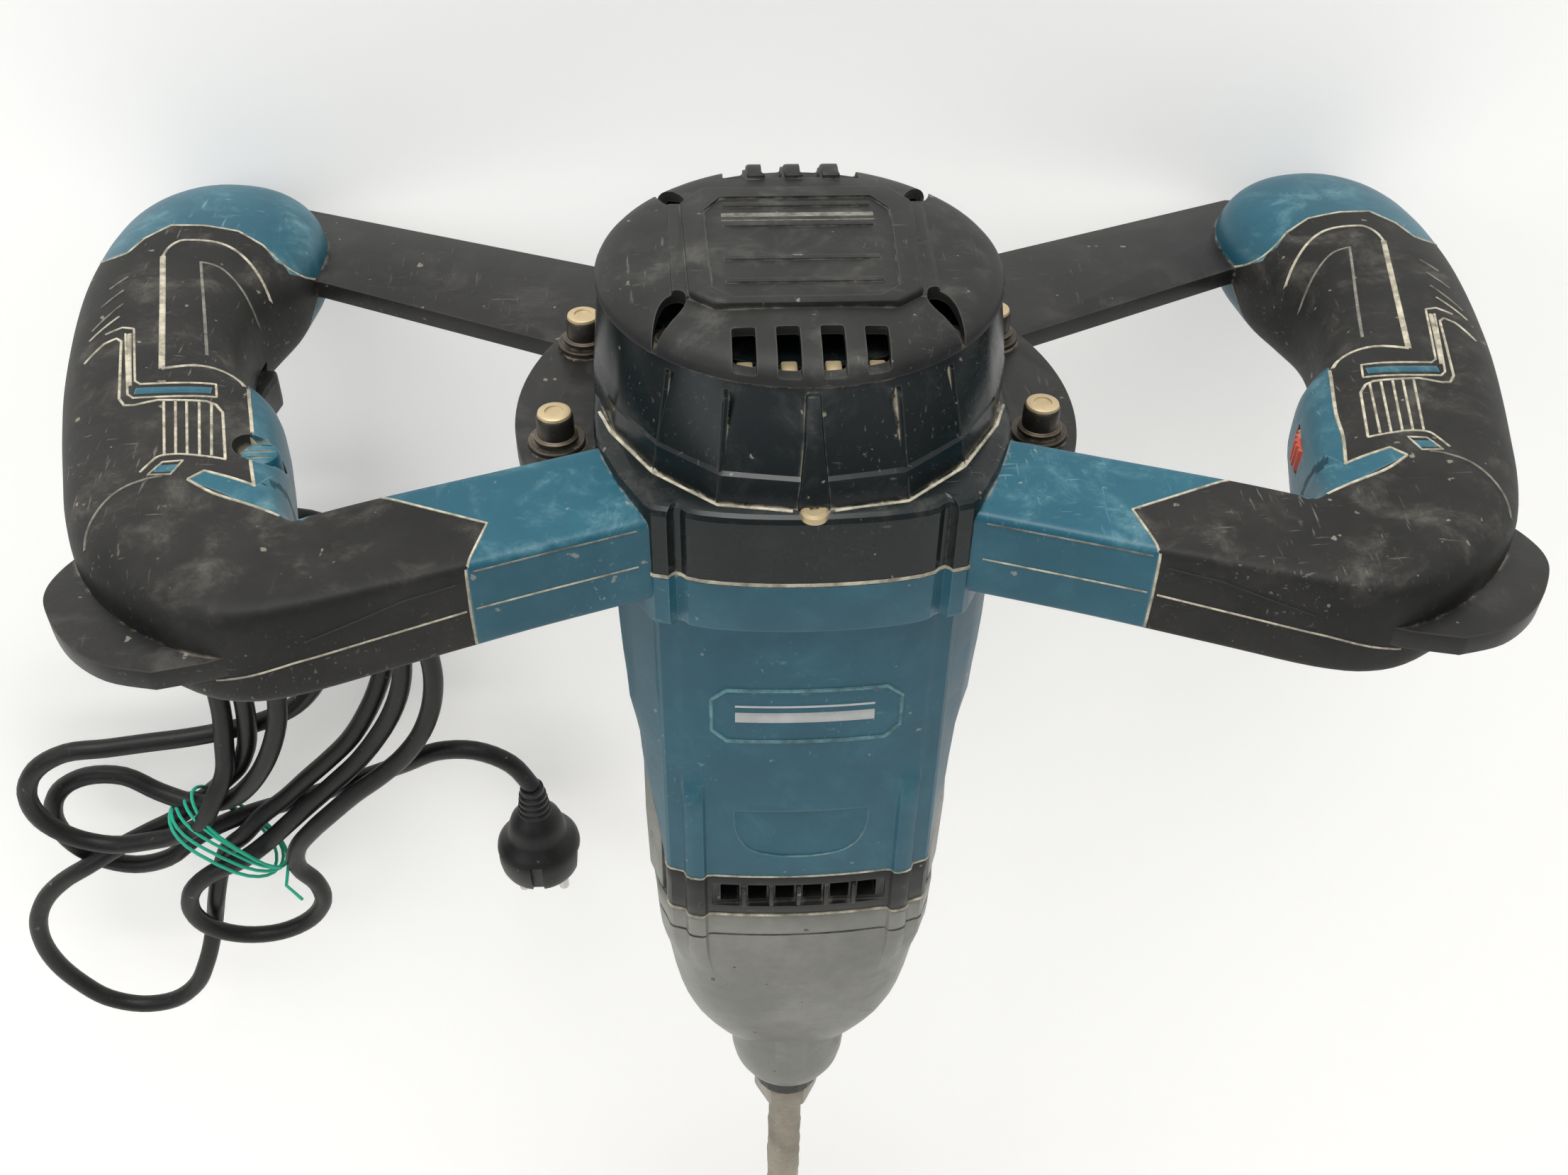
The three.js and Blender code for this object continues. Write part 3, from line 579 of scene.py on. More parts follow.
# The hank, relaxed so that its folds are round and its strands lie on each other.
CORD_ROUTE = [
    (-188, 96, -62), (-188.1, 96.6, -79.3), (-188.5, 98.6, -96.5), (-189.8, 103.2, -113.1), (-189.4, 104.9, -130),
    (-185.8, 108.2, -146.6), (-185.2, 109.8, -163.8), (-186.7, 110.7, -181.1), (-190.6, 111, -198),
    (-197.7, 111.2, -213.7), (-208.8, 110.9, -226.9), (-223.6, 110.9, -235.6), (-240.2, 109.1, -239.5),
    (-257.1, 105.8, -240.1), (-274.3, 103.6, -240.4), (-291.5, 101.4, -240.9), (-308.6, 99.5, -241.2),
    (-323.2, 98.1, -249.7), (-331.1, 97.5, -264.8), (-329.8, 97.6, -281.8), (-319.7, 98.3, -295.5),
    (-303.8, 98.2, -301.7), (-287.1, 97, -298.8), (-270.6, 96.4, -293.8), (-257.8, 93.1, -283),
    (-249.5, 93.6, -268.1), (-242, 96.5, -253.1), (-238.9, 98, -236.1), (-236.6, 99.3, -219),
    (-235.9, 100.3, -201.7), (-234.3, 101.4, -184.5), (-231.6, 102.8, -167.5), (-226.5, 104.3, -151),
    (-219, 105.5, -135.6), (-205.7, 109.9, -125.9), (-189.2, 113.6, -124.7), (-173.3, 111.5, -130.6),
    (-163.2, 108.8, -144), (-161.6, 107.9, -161), (-162.8, 107.3, -178.1), (-164.6, 106.3, -195.1),
    (-169.9, 105.3, -211.4), (-177.2, 104.4, -226.8), (-186.3, 103.8, -241.4), (-197.6, 103.9, -254.4),
    (-209.5, 104.4, -266.9), (-221.4, 104.4, -279.5), (-234.4, 103.5, -290.8), (-245.3, 103.7, -304.1),
    (-256, 106.8, -317.1), (-262.8, 105.7, -333), (-267.8, 104.3, -349.5), (-272.5, 106.7, -365.9),
    (-276.8, 103.4, -382.1), (-282.7, 100.5, -398.1), (-290.6, 99.5, -413.4), (-303.6, 98.6, -424.5),
    (-320.4, 98.1, -426.9), (-336, 97.9, -420), (-346.1, 98, -406.2), (-352.6, 97.9, -390.1), (-354.9, 98.1, -373),
    (-352.5, 98.6, -355.9), (-344.8, 99.4, -340.5), (-332.9, 99.8, -328), (-319, 99.6, -317.8),
    (-304.1, 103.9, -310.2), (-288.9, 106.4, -302.5), (-273.9, 106.9, -293.7), (-260, 110.8, -284.2),
    (-248.3, 109.4, -271.9), (-238.6, 105.1, -258.3), (-231.5, 102.5, -242.7), (-227.9, 101.6, -225.8),
    (-226.1, 100.9, -208.6), (-224.7, 100, -191.3), (-222.7, 99.1, -174.1), (-219.8, 97.9, -157.1),
    (-216, 95.9, -140.4), (-204.5, 94.5, -127.8), (-188.2, 95.7, -122.7), (-172.6, 101.5, -126.7),
    (-160.1, 101.3, -138.4), (-155.2, 98.2, -154.5), (-154.7, 96.9, -171.8), (-155.3, 97.1, -189.1),
    (-158.8, 97.5, -206.1), (-165.3, 97.8, -222.2), (-174.1, 98, -237.2), (-184.3, 98.1, -251.2),
    (-195.8, 98.6, -264.1), (-207.9, 98.6, -276.6), (-220.1, 98, -289), (-232.3, 97.1, -301.3),
    (-245.6, 96.1, -312.4), (-261.1, 94.7, -319.8), (-273.2, 94.2, -331.9), (-277.2, 95.1, -348.5),
    (-271.8, 97.2, -364.5), (-258.5, 100.2, -375), (-241.7, 102.7, -376.8), (-226.5, 104, -369.2),
    (-217.5, 103.5, -354.6), (-217.5, 101.4, -337.7), (-222.7, 98.1, -321.6), (-219.5, 95.5, -305.1),
    (-210.1, 93.3, -290.7), (-198.7, 92.3, -277.7), (-186.5, 92.3, -265.4), (-173.4, 92.4, -254.1),
    (-161.4, 92.3, -241.6), (-151.9, 92.3, -227.2), (-145.6, 92.3, -211), (-142.6, 92.3, -194),
    (-142.7, 92.3, -176.9), (-141.9, 92.3, -159.7), (-146.9, 92.3, -143.4), (-159.8, 92.3, -132.2),
    (-176.6, 92.3, -129.7), (-192.9, 92.3, -135.1), (-203.9, 92.3, -148.2), (-206.2, 92.3, -165.1),
    (-206.9, 92.3, -182.2), (-208.5, 92.3, -199.2), (-211.2, 92.5, -216.2), (-216.6, 92.7, -232.6),
    (-224.2, 93.5, -248.2), (-233.9, 95.2, -262.4), (-245.2, 99.5, -274.6), (-261.2, 102.4, -279.6),
    (-277.4, 106, -275.4), (-292.2, 108.9, -267.2), (-309.2, 109.9, -267.5), (-323.6, 110.2, -276.7),
    (-330.8, 109.8, -292.2), (-328.6, 109.2, -309.1), (-317.8, 108.4, -322.3), (-301.6, 107.5, -327.5),
    (-285, 107.7, -323.4), (-271.6, 109.1, -312.5), (-256.7, 111.1, -304.1), (-240.6, 112.4, -297.7),
    (-224.5, 111.7, -291.3), (-208.9, 110, -283.8), (-193.8, 108.1, -275.5), (-178.8, 106, -267),
    (-163.9, 103.9, -258.3), (-149, 102.2, -249.7), (-132, 101.1, -248.8), (-117.1, 100.4, -257.3),
    (*PLUG, PLUG_TOP),
]


def make_cord():
    line = smooth(CORD_ROUTE, CORD_STEPS)
    curve = bpy.data.curves.new("mains_cord", "CURVE")
    curve.dimensions = "3D"
    curve.bevel_depth = CORD_R * MM
    curve.bevel_resolution = 4
    curve.use_fill_caps = True
    spline = curve.splines.new("POLY")
    spline.points.add(len(line) - 1)
    for point, at in zip(spline.points, line):
        point.co = (*(c * MM for c in at), 1.0)
    spline.use_smooth = True
    cord = bpy.data.objects.new("mains_cord", curve)
    bpy.context.scene.collection.objects.link(cord)
    curve.materials.append(INK["cord"])
    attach(cord, "mixer")
    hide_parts("cord_lead", "cord_hank", "cord_tail")
    return cord


def make_tie():
    """Five turns of string round the bundle, each a little askew."""
    middle = Vector((-249, 102, -300))
    long_way = Vector((0.66, 0.0, -0.75))
    along = Vector((0.75, 0.0, 0.66))
    points = []
    turns, per_turn = 5, 28
    for i in range(turns * per_turn + 1):
        angle = math.tau * i / per_turn
        drift = -7 + 14 * i / (turns * per_turn) + 3.5 * math.sin(angle + i / 31)
        flat = abs(math.cos(angle)) ** 0.7 * math.copysign(1, math.cos(angle))
        points.append(middle + long_way * 29 * flat + Vector((0, 1, 0)) * 14.5 * math.sin(angle) + along * drift)
    string = [tuple(p) for p in points]
    tails = [string[-1], tuple(middle + Vector((22, -13, -24))), tuple(middle + Vector((27, -12, -36)))]
    return piece(pipe(string + tails[1:], 0.8, 6), "string_wrap", "string", replaces=("string_tie",))


def make_plug():
    x, y = PLUG
    profile = [(0, -326), (15.5, -326), (17.6, -325), (18.6, -322.5), (19.3, -318), (19.5, -313), (19.0, -309.5),
        (17.0, -306.5), (14.2, -304), (13.2, -301), (12.6, -297), (11.4, -293.5), (9.6, -291), (8.2, -289.5)]
    ribs = []
    for i in range(4):
        z = -288.8 + 3.4 * i
        r = 7.6 - 0.45 * i
        ribs += [(r, z), (r, z + 1.6), (r - 1.0, z + 2.1), (r - 1.0, z + 2.9)]
    body = turned(profile + ribs + [(5.6, -274.5), (5.2, -272.3), (0, -272.3)], PLUG, 72)
    flats = []
    for side in (-1, 1):
        edge = y + side * 19.5
        cut(body, box((x - 2.6, edge - 4.2, -330), (x + 2.6, edge + 4.2, -309)))
        left, right = sorted((x + side * 19.6, x + side * 19.6 - side * 2.4))
        flats.append(box((left, y - 7, -330), (right, y + 7, -312)))
    cut(body, *flats, turned([(0, -330), (9.2, -330), (9.2, -325), (0, -325)], PLUG, 48))
    bevelled(body, 0.5, 2, 35)
    return piece(body, "plug_body", "cord", replaces=("mains_plug",), sharp=40)


def make_gland():
    section = [(0, -22.6), (9, -22.6), (9, -27), (8.6, -28)]
    for i in range(8):
        z = -29 - 4.0 * i
        r = 8.2 - 0.33 * i
        section += [(r, z), (r, z - 2.2), (r - 1.0, z - 2.7), (r - 1.0, z - 3.5)]
    section += [(5.3, -61.7), (0, -61.7)]
    return piece(turned(section, GLAND, 48), "strain_relief", "cord", replaces=("cord_gland",))


cord = make_cord()
cord_pieces = [make_tie(), make_plug()]
make_gland()
for pin in ("plug_pin_left", "plug_pin_right"):
    NODES[pin].data.materials.clear()
    NODES[pin].data.materials.append(INK["steel"])
    cord_pieces.append(NODES[pin])


# ---- frame plate and bolts ----
def with_mirror(thing):
    """Joins a solid at +x with its mirror image."""
    verts = [(-v.co.x / MM, v.co.y / MM, v.co.z / MM) for v in thing.data.vertices]
    faces = [tuple(reversed(p.vertices)) for p in thing.data.polygons]
    return combine(thing, scratch(verts, faces), "UNION")


def make_plate():
    ring = prism(arc(83, -25, 205, 90), -3, 3)
    rear = prism([(58, 30), (78, 40), (112, 57), (152, 77), (170, 84), (176, 92), (176, 118), (172, 126), (164, 127),
        (60, 84)], -3, 3)
    tip = smooth([(163, -107), (176, -103.5), (187, -95), (195, -83), (197, -75), (195, -67), (191, -60)], 5)
    front = prism([(36, -30), (46, -58), (150, -104)] + tip + [(165, -50), (146, -52), (133, -68), (116, -61),
        (60, -39), (50, -28)], -3, 3)
    bars = with_mirror(combine(front, rear, "UNION"))
    plate = combine(ring, bars, "UNION")
    cut(plate, rod(50, 64, -4, 4))
    for x, y in BOLTS:
        cut(plate, rod(3.5, 16, -4, 4, (x, y)))
    bevelled(plate, 1.1, 3)
    return piece(plate, "frame_plate", "plate", replaces=("handle_frame",))


BOLTS = [(70, -16), (64, 36), (-70, -16), (-64, 36)]


def make_bolts():
    for i, at in enumerate(BOLTS):
        washer = turned([(3.5, 3.2), (8, 3.2), (8.3, 3.6), (8.3, 4.6), (8, 5.0), (3.5, 5.0)], at, 40)
        piece(washer, f"bolt_washer_{i + 1}", "bolt")
        section = [(0, -12.8), (3, -12.8), (3, 4.8), (6.2, 5.1), (6.4, 5.5), (6.4, 6.6), (5.4, 7.0), (5.3, 12.6),
            (4.9, 13.4), (0, 13.4)]
        piece(turned(section, at, 40), f"bolt_body_{i + 1}", "bolt", replaces=(f"frame_bolt_{i + 1}",))
        head = turned([(0, 13.5), (4.9, 13.5), (4.7, 14.2), (4.1, 14.5), (2.7, 14.5), (2.5, 14.0), (0, 14.0)], at, 40)
        piece(head, f"bolt_top_{i + 1}", "brass")


make_plate()
make_bolts()


# ---- motor end cap ----
def make_cap():
    """A shallow dome with a raised eight-sided panel, vents at the front and back, and four screw wells."""
    profile = [(57, 48.3), (57.0, 50.2), (56.3, 51.6), (55.0, 53.0), (53.0, 54.3), (50.0, 55.5), (46, 56.2),
        (40, 56.9), (30, 57.4), (18, 57.7), (6, 57.8)]
    inner = [(6, 55.3), (30, 54.9), (46, 53.7), (52, 51.6), (53.5, 49.5), (53.5, 48.3)]
    shell = turned([(0, 57.8)] + [(r, z) for r, z in reversed(profile)] + [(r, z) for r,
        z in reversed(inner)] + [(0, 55.3)], sides=128)
    panel = [(24, -33), (31, -27), (33, 22), (27, 31), (-27, 31), (-33, 22), (-31, -27), (-24, -33)]
    raised = bevelled(prism(panel, 55.5, 59.3), 1.0, 3)
    combine(shell, raised, "UNION")
    well = [(x * 0.80, y * 0.86 - 2) for x, y in panel]
    cut(shell, prism(well, 58.5, 62))
    for y in (-21.5, -9.5, 9, 20.5):
        bar = bevelled(box((-21, y - 1.1, 57.5), (21, y + 1.1, 59.2)), 0.45, 2)
        combine(shell, bar, "UNION")
    # the shoulders that run from the panel to the rim
    for side in (-1, 1):
        shoulder = prism([(side * 30, -27), (side * 35.5, -29), (side * 37, 24), (side * 32, 24)], 55, 57.9)
        combine(shell, bevelled(shoulder, 1.0, 2), "UNION")
    slope = [(40, 56), (40, 58.3), (45, 58.3), (48, 57.6), (52, 55.6), (55.4, 52.6), (56.6, 50.2), (56.6, 49.0),
        (50, 49.0)]
    for x in (-10.6, 0.6, 11.6):
        rib = loft([[(x - 2.7, y, z) for y, z in slope], [(x + 2.7, y, z) for y, z in slope]])
        combine(shell, bevelled(rib, 0.9, 3), "UNION")
    for x in (-17.1, -5.7, 5.7, 17.1):
        for side in (-1, 1):
            low, high = sorted((side * 41, side * 60))
            cut(shell, bevelled(box((x - 3.2, low, 50.6), (x + 2.9, high, 62)), 0.8, 2))
    for sx in (-1, 1):
        for sy in (-1, 1):
            a, b = Vector((sx * 33.5, sy * 25)), Vector((sx * 40.5, sy * 41))
            along = (b - a).normalized()
            across = Vector((-along.y, along.x))
            drop = []
            for i in range(24):
                turn = math.tau * i / 24
                reach = math.cos(turn)
                wide = 4.6 * math.sin(turn) * (0.62 - 0.38 * reach)
                middle = (a + b) / 2
                drop.append(tuple(middle + along * reach * 9.2 + across * wide))
            cut(shell, prism(drop, 48.5, 62))
    shell = piece(shell, "end_cap", "cap", replaces=("motor_end_cap",), sharp=28)
    # what is seen in the wells and behind the vents
    for sx in (-1, 1):
        for sy in (-1, 1):
            at = (sx * 37, sy * 34)
            well = turned([(0, 47.8), (6.4, 47.8), (6.4, 48.2), (3.2, 48.6), (3.0, 49.7), (0, 49.7)], at, 32)
            piece(well, f"well_screw_{sx + 1}{sy + 1}", "bolt")
    for x in (-17.1, -5.7, 5.7, 17.1):
        tag = bevelled(box((x - 2.2, -51.8, 40), (x + 2.2, -46, 49.5)), 0.7, 2)
        piece(tag, f"brush_lead_{int(x * 10) + 200}", "brass")
    return shell


def make_brush_ring():
    ring = turned([(26, 44), (44, 44), (46, 45.5), (46, 47.3), (28, 47.3), (26, 46)], sides=72)
    piece(ring, "brush_plate", "gloss")


end_cap = make_cap()
make_brush_ring()


# ---- motor housing ----
FACETS = [(0, -70.8), (24.5, -66.8), (41, -52.5), (52.5, -34), (58.6, -12), (58.6, 14), (52, 34), (36, 50), (16, 58),
    (0, 58.5)]


def facet_radius(angle):
    """Distance from the axis to the faceted outline in that direction."""
    corners = mirrored(FACETS)
    heading = Vector((math.cos(angle), math.sin(angle)))
    for a, b in zip(corners, corners[1:] + corners[:1]):
        edge = Vector(b) - Vector(a)
        turn = heading.x * edge.y - heading.y * edge.x
        if abs(turn) < 1e-9:
            continue
        reach = (a[0] * edge.y - a[1] * edge.x) / turn
        share = (a[0] * heading.y - a[1] * heading.x) / turn
        if reach > 0 and -1e-6 <= share <= 1 + 1e-6:
            return reach
    return 57.0


SKIRT_HALF = [(0, -73.6), (6, -73.5), (12, -73.2), (18, -72.7), (24, -71.9), (29.5, -70.8), (33.2, -69.4),
    (34.6, -67.9), (36.2, -67.2), (37.4, -68.0), (38.2, -69.0), (42.2, -68.0), (44.0, -66.2), (46.0, -62.4),
    (51.0, -53.0), (54.6, -44.0), (57.6, -35.0), (58.4, -26), (58.6, -14)] + [(58.6 * math.cos(a),
    58.6 * math.sin(a)) for a in [math.radians(d) for d in range(-6, 91, 8)]]
SKIRT = mirrored([p for p in SKIRT_HALF if p[0] > 1e-6 or p[1] < 0] + [(0, 58.6)])


def make_motor_housing():
    sides = 180
    rings = []
    for z, share in ((17, 1.0), (21, 1.0), (24, 0.93), (27.4, 0.88), (28.2, 0.80), (33, 0.66), (40, 0.38),
            (45.5, 0.12), (47.9, 0.0)):
        ring = []
        for i in range(sides):
            angle = math.tau * i / sides
            r = 56.3 + (facet_radius(angle) - 56.3) * share
            ring.append((r * math.cos(angle), r * math.sin(angle), z))
        rings.append(ring)
    wall = loft(rings)
    levels = [(-2.7, 0), (17.2, 0), (18.6, 0.5), (19.4, 1.4), (19.8, 2.6)]
    skirt = loft([drawn_in(SKIRT, d, 62, z) for z, d in levels])
    body = combine(wall, skirt, "UNION")
    rib = loft([[(-5.0, -60, 17), (5.0, -60, 17), (4.5, -70.6, 17), (-4.5, -70.6, 17)],
        [(-4.7, -58, 22), (4.7, -58, 22), (4.1, -71.4, 22), (-4.1, -71.4, 22)],
        [(-3.2, -55, 37), (3.2, -55, 37), (2.4, -66.2, 37), (-2.4, -66.2, 37)],
        [(-2.4, -54, 47), (2.4, -54, 47), (1.7, -58.8, 47), (-1.7, -58.8, 47)]])
    combine(body, bevelled(rib, 0.7, 2), "UNION")
    for side in (-1, 1):
        for x, y in ((24.5, -66.4), (41, -52.6)):
            rib = loft([[(side * (x - 1.1), y + 6, 19), (side * (x + 1.1), y + 6, 19),
                (side * (x + 0.9), y - 0.9, 19), (side * (x - 0.9), y - 0.9, 19)],
                [(side * (x * 0.9 - 0.8), y * 0.86 + 5, 46), (side * (x * 0.9 + 0.8), y * 0.86 + 5, 46),
                (side * (x * 0.9 + 0.6), y * 0.86 - 0.4, 46), (side * (x * 0.9 - 0.6), y * 0.86 - 0.4, 46)]])
            combine(body, rib, "UNION")
    cut(body, rod(50.8, 96, -4, 50))
    for side in (-1, 1):
        cut(body, prism([(side * 36, -29), (side * 46, -58.3), (side * 70, -69), (side * 90, -40), (side * 90, 90),
            (0, 90), (0, 52), (side * 51, 20)], -4, 3.3))
    return piece(body, "motor_housing_shell", "gloss", replaces=("motor_housing",), sharp=20)


housing = make_motor_housing()
screw_at = (0, -71.8)
piece(turned([(0, 18.6), (3.6, 18.6), (3.6, 20.4), (2.9, 21.1), (1.4, 21.1), (1.2, 20.5), (0, 20.5)], screw_at, 32),
    "foot_screw", "brass")
# dust along the foot of the walls
ledge = [(x * 1.012, y * 1.012, 30) for x, y in dense([(-56, -24), (-52.5, -34), (-41, -52.5), (-24.5, -66.8),
    (0, -70.8), (24.5, -66.8), (41, -52.5), (52.5, -34), (56, -24)], 3)]
piece(ribbon([housing], [p for p in ledge if abs(p[0]) > 5.5 and p[0] < 0], 1.3, (0, 0, -1), 0.2), "ledge_dust_1",
    "line")
piece(ribbon([housing], [p for p in ledge if abs(p[0]) > 5.5 and p[0] > 0], 1.3, (0, 0, -1), 0.2), "ledge_dust_2",
    "line")


# ---- body: teal housing, vent band, gearbox ----
def swell(z, table):
    """The value at height z from a table of (height, value), falling in height."""
    for (z0, v0), (z1, v1) in zip(table, table[1:]):
        if z1 <= z <= z0:
            share = (z0 - z) / (z0 - z1)
            share = share * share * (3 - 2 * share)
            return v0 + (v1 - v0) * share
    return table[0][1] if z > table[0][0] else table[-1][1]


# Half widths, the front and the height of its ridges, each as (height, value).
TEAL_W = [(-10, 54.6), (-42, 54.2), (-68, 53.0), (-91, 50.2), (-104, 49.6), (-120, 46.5), (-135, 44.2)]
PANEL_FRONT = [(-10, -65.6), (-135, -66.0), (-167, -66.2)]
BOSS = [(-88, 0.0), (-99, 2.6), (-170, 2.4)]
BAND_W = [(-130, 44.0), (-156, 43.6)]
COVER_W = [(-150, 48.6), (-168, 47.6)]


def body_ring(z, widths):
    """The plan outline at height z: a bowed front panel with a ridge near each edge, then bevelled corners."""
    w = swell(z, widths)
    f = swell(z, PANEL_FRONT)
    b = swell(z, BOSS)
    half = [(x, f + 1.7 * (x / 28) ** 2) for x in (0, 4, 8, 12, 16, 20, 24, 28)]
    half += [(29.8, f + 2.1 - 0.2 * b), (30.8, f + 2.3 - 0.8 * b), (32.2, f + 2.6 - b), (35.0, f + 3.2 - b),
        (36.4, f + 3.6 - 0.8 * b), (37.3, f + 4.2 - 0.15 * b), (39.5, f + 4.6), (41.6, f + 5.2), (42.6, f + 6.2),
        (43.3, f + 8.2)]
    corner = min(w - 0.5, 44.5)
    half += [(corner + (w - corner) * 0.5, -51.5), (w - 0.6, -44), (w, -38), (w, -30), (w, -20), (w, -8)]
    rear = 50 - 6 * min(1.0, max(0.0, (-z - 20) / 115))
    half += [(w * math.cos(a), -8 + (rear + 8) * math.sin(a)) for a in [math.radians(d) for d in range(9, 91, 9)]]
    half[-1] = (0, half[-1][1])
    ring = [(x, y, z) for x, y in mirrored(half)]
    # both halves end on the middle line: the second point there is dropped
    return [p for i, p in enumerate(ring) if i == 0 or math.dist(p, ring[i - 1]) > 1e-6]


def make_body():
    heights = [-14, -22, -32, -42, -52, -62, -72, -82, -88, -92, -96, -99, -103, -108, -114, -120, -127, -131, -134.6]
    barrel = loft([body_ring(z, TEAL_W) for z in heights])
    collar = loft([drawn_in(SKIRT, d, 62, z) for z, d in [(-21.2, 4.0), (-21.2, 1.2), (-20.4, 0.3), (-19.2, 0.0),
        (-4.2, 0.0), (-3.5, 0.6)]])
    flange = bevelled(prism(arc(80, -12, 192, 60), -12.3, -3.5), 1.0, 2)
    body = combine(combine(barrel, collar, "UNION"), flange, "UNION")
    for side in (-1, 1):
        bolt_side = bevelled(rod(7, 32, -14, -4, (side * 70, -16)), 0.8, 2)
        combine(body, bolt_side, "UNION")
    cut(body, turned([(0, -106), (44.6, -106), (44.6, 0), (0, 0)], sides=64))
    cut(body, turned([(0, -140), (36, -140), (36, -100), (0, -100)], sides=64))
    # a shallow curved recess between the ridges
    recess = smooth([(-21, -103), (-20.5, -112), (-18, -119), (-12, -123.5), (0, -125), (12, -123.5), (18, -119),
        (20.5, -112), (21, -103)], 4)
    tool = loft([[(x, -69, z) for x, z in recess], [(x, -65.55 + 1.7 * (x / 28) ** 2, z) for x, z in recess]])
    cut(body, tool)
    return piece(body, "body_shell", "teal", replaces=("body_housing",), sharp=24)


def make_band():
    heights = [-135.0, -136.2, -142, -148, -153.6, -154.7]
    inset = [0.4, 0, 0, 0, 0, 0.4]
    rings = []
    for z, d in zip(heights, inset):
        rings.append(drawn_in(body_ring(z, BAND_W), d, 60, z))
    band = loft(rings)
    cut(band, turned([(0, -160), (36, -160), (36, -130), (0, -130)], sides=64))
    cut(band, bevelled(box((-28.5, -70, -150.2), (28.5, -63.6, -139.2)), 0.8, 2))
    for i in range(6):
        x = -22.5 + 9 * i
        cut(band, bevelled(box((x - 3.1, -75, -148.8), (x + 3.1, -30, -140.6)), 0.5, 2))
        if i < 5:
            post = bevelled(box((x + 3.7, -66.6, -149.5), (x + 5.3, -62.5, -140)), 0.5, 2)
            combine(band, post, "UNION")
    return piece(band, "vent_band_shell", "band", replaces=("vent_band",), sharp=28)


def make_fan_guard():
    ring = turned([(20, -152), (33, -152), (33, -138), (31, -138), (31, -150), (20, -150)], sides=64)
    piece(ring, "fan_guard", "casting")


def case_ring(z, half, front, rear, power, share):
    """The casting's plan outline: the cover's own outline above, going over to a rounded box below."""
    ring = []
    middle, depth = (front + rear) / 2, (rear - front) / 2
    for x, y, _ in body_ring(-166, COVER_W):
        c, s = x / 47.6, (y + 10.5) / 55.0
        reach = (abs(c) ** power + abs(s) ** power) ** (1 / power)
        ring.append((x + (half * c / reach - x) * share, y + (middle + depth * s / reach - y) * share, z))
    return ring


def make_gearbox():
    cover_rings = []
    for z, d in ((-155.0, 0.5), (-156.2, 0), (-164.6, 0), (-165.7, 0.4)):
        cover_rings.append(drawn_in(body_ring(z, COVER_W), d, 60, z))
    cover = loft(cover_rings)
    for tool in (turned([(0, -162.5), (11.3, -162.5), (11.3, -150), (0, -150)]), rod(5, 24, -168, -155),
            rod(13.3, 32, -168, -157.5, SPINDLE), rod(4.5, 24, -168, -159, COUNTERSHAFT)):
        cut(cover, tool)
    piece(cover, "gearbox_cover_shell", "casting", replaces=("gearbox_cover",), sharp=26)
    # height, half width, front, rear, squareness, share of the rounded box
    rows = [(-166.1, 47.4, -66.2, 43.0, 5.0, 0.0), (-170, 47.3, -66.3, 42, 4.8, 0.06),
        (-175, 47.0, -66.4, 40, 4.6, 0.22), (-181, 46.4, -66.4, 37.4, 4.3, 0.55), (-187, 45.8, -66.3, 34, 4.1, 0.88),
        (-194, 45.0, -66.1, 29.6, 3.9, 1.0), (-204, 43.8, -65.6, 21.4, 3.6, 1.0), (-214, 42.2, -64.6, 13, 3.3, 1.0),
        (-222, 40.4, -63.4, 7.6, 3.1, 1.0), (-230, 38.0, -61.6, 3, 2.9, 1.0), (-236, 35.8, -60.0, 0, 2.7, 1.0),
        (-240, 34.0, -58.7, -2, 2.6, 1.0), (-246, 31.4, -56.2, -5, 2.5, 1.0), (-252, 29.0, -53.0, -8, 2.4, 1.0),
        (-258, 26.8, -49.8, -12, 2.2, 1.0), (-263, 25.0, -46.6, -16, 2.1, 1.0), (-267, 23.2, -43.5, -20, 2.0, 1.0),
        (-269.5, 20, -41, -24, 2.0, 1.0)]
    case = loft([case_ring(*row) for row in rows])
    nose = [(0, -231), (21.9, -231), (21.9, -262), (21.6, -269), (20.8, -273.4), (19.2, -277), (17.0, -280),
        (14.8, -282.4), (13.6, -283.6), (13.2, -284), (0, -284)]
    combine(case, turned(nose, SPINDLE, 96), "UNION")
    gears = turned([(0, -197), (26.5, -197), (26.5, -160), (0, -160)], SPINDLE)
    for tool in (gears, rod(19.5, 48, -197, -160, COUNTERSHAFT), rod(4.5, 24, -203, -190, COUNTERSHAFT),
            rod(8, 32, -190, -160), rod(17.8, 48, -262.3, -190, SPINDLE), rod(10, 48, -290, -200, SPINDLE),
            rod(12.4, 48, -290, -276, SPINDLE)):
        cut(case, tool)
    piece(case, "gearbox_case_shell", "casting", replaces=("gearbox_case",), sharp=26)
    # the wings of the casting that stand up beside the body
    for side in (-1, 1):
        wing = loft([[(side * 40, -30, -108), (side * 47.6, -46, -112), (side * 49.4, -38, -106),
            (side * 49.8, -24, -104), (side * 49.8, -8, -104), (side * 40, -4, -104)],
            [(side * 38, -46, -126), (side * 44.6, -52.0, -128), (side * 49.5, -42, -126), (side * 49.8, -26, -126),
            (side * 49.8, -4, -126), (side * 38, 4, -126)], [(side * 38, -50, -154.8), (side * 44.9, -53.5, -154.8),
            (side * 49.0, -42, -154.8), (side * 49.4, -26, -154.8), (side * 49.0, -2, -154.8),
            (side * 38, 6, -154.8)]])
        piece(bevelled(wing, 0.8, 2), f"casting_wing_{side + 1}", "casting", sharp=40)


body = make_body()
make_band()
make_fan_guard()
make_gearbox()


def on_front(points, width, ink, name, lift=0.3, closed=False):
    line = [(x, -90, z) for x, z in points]
    piece(ribbon([body], line, width, (0, 1, 0), lift, closed), name, ink)


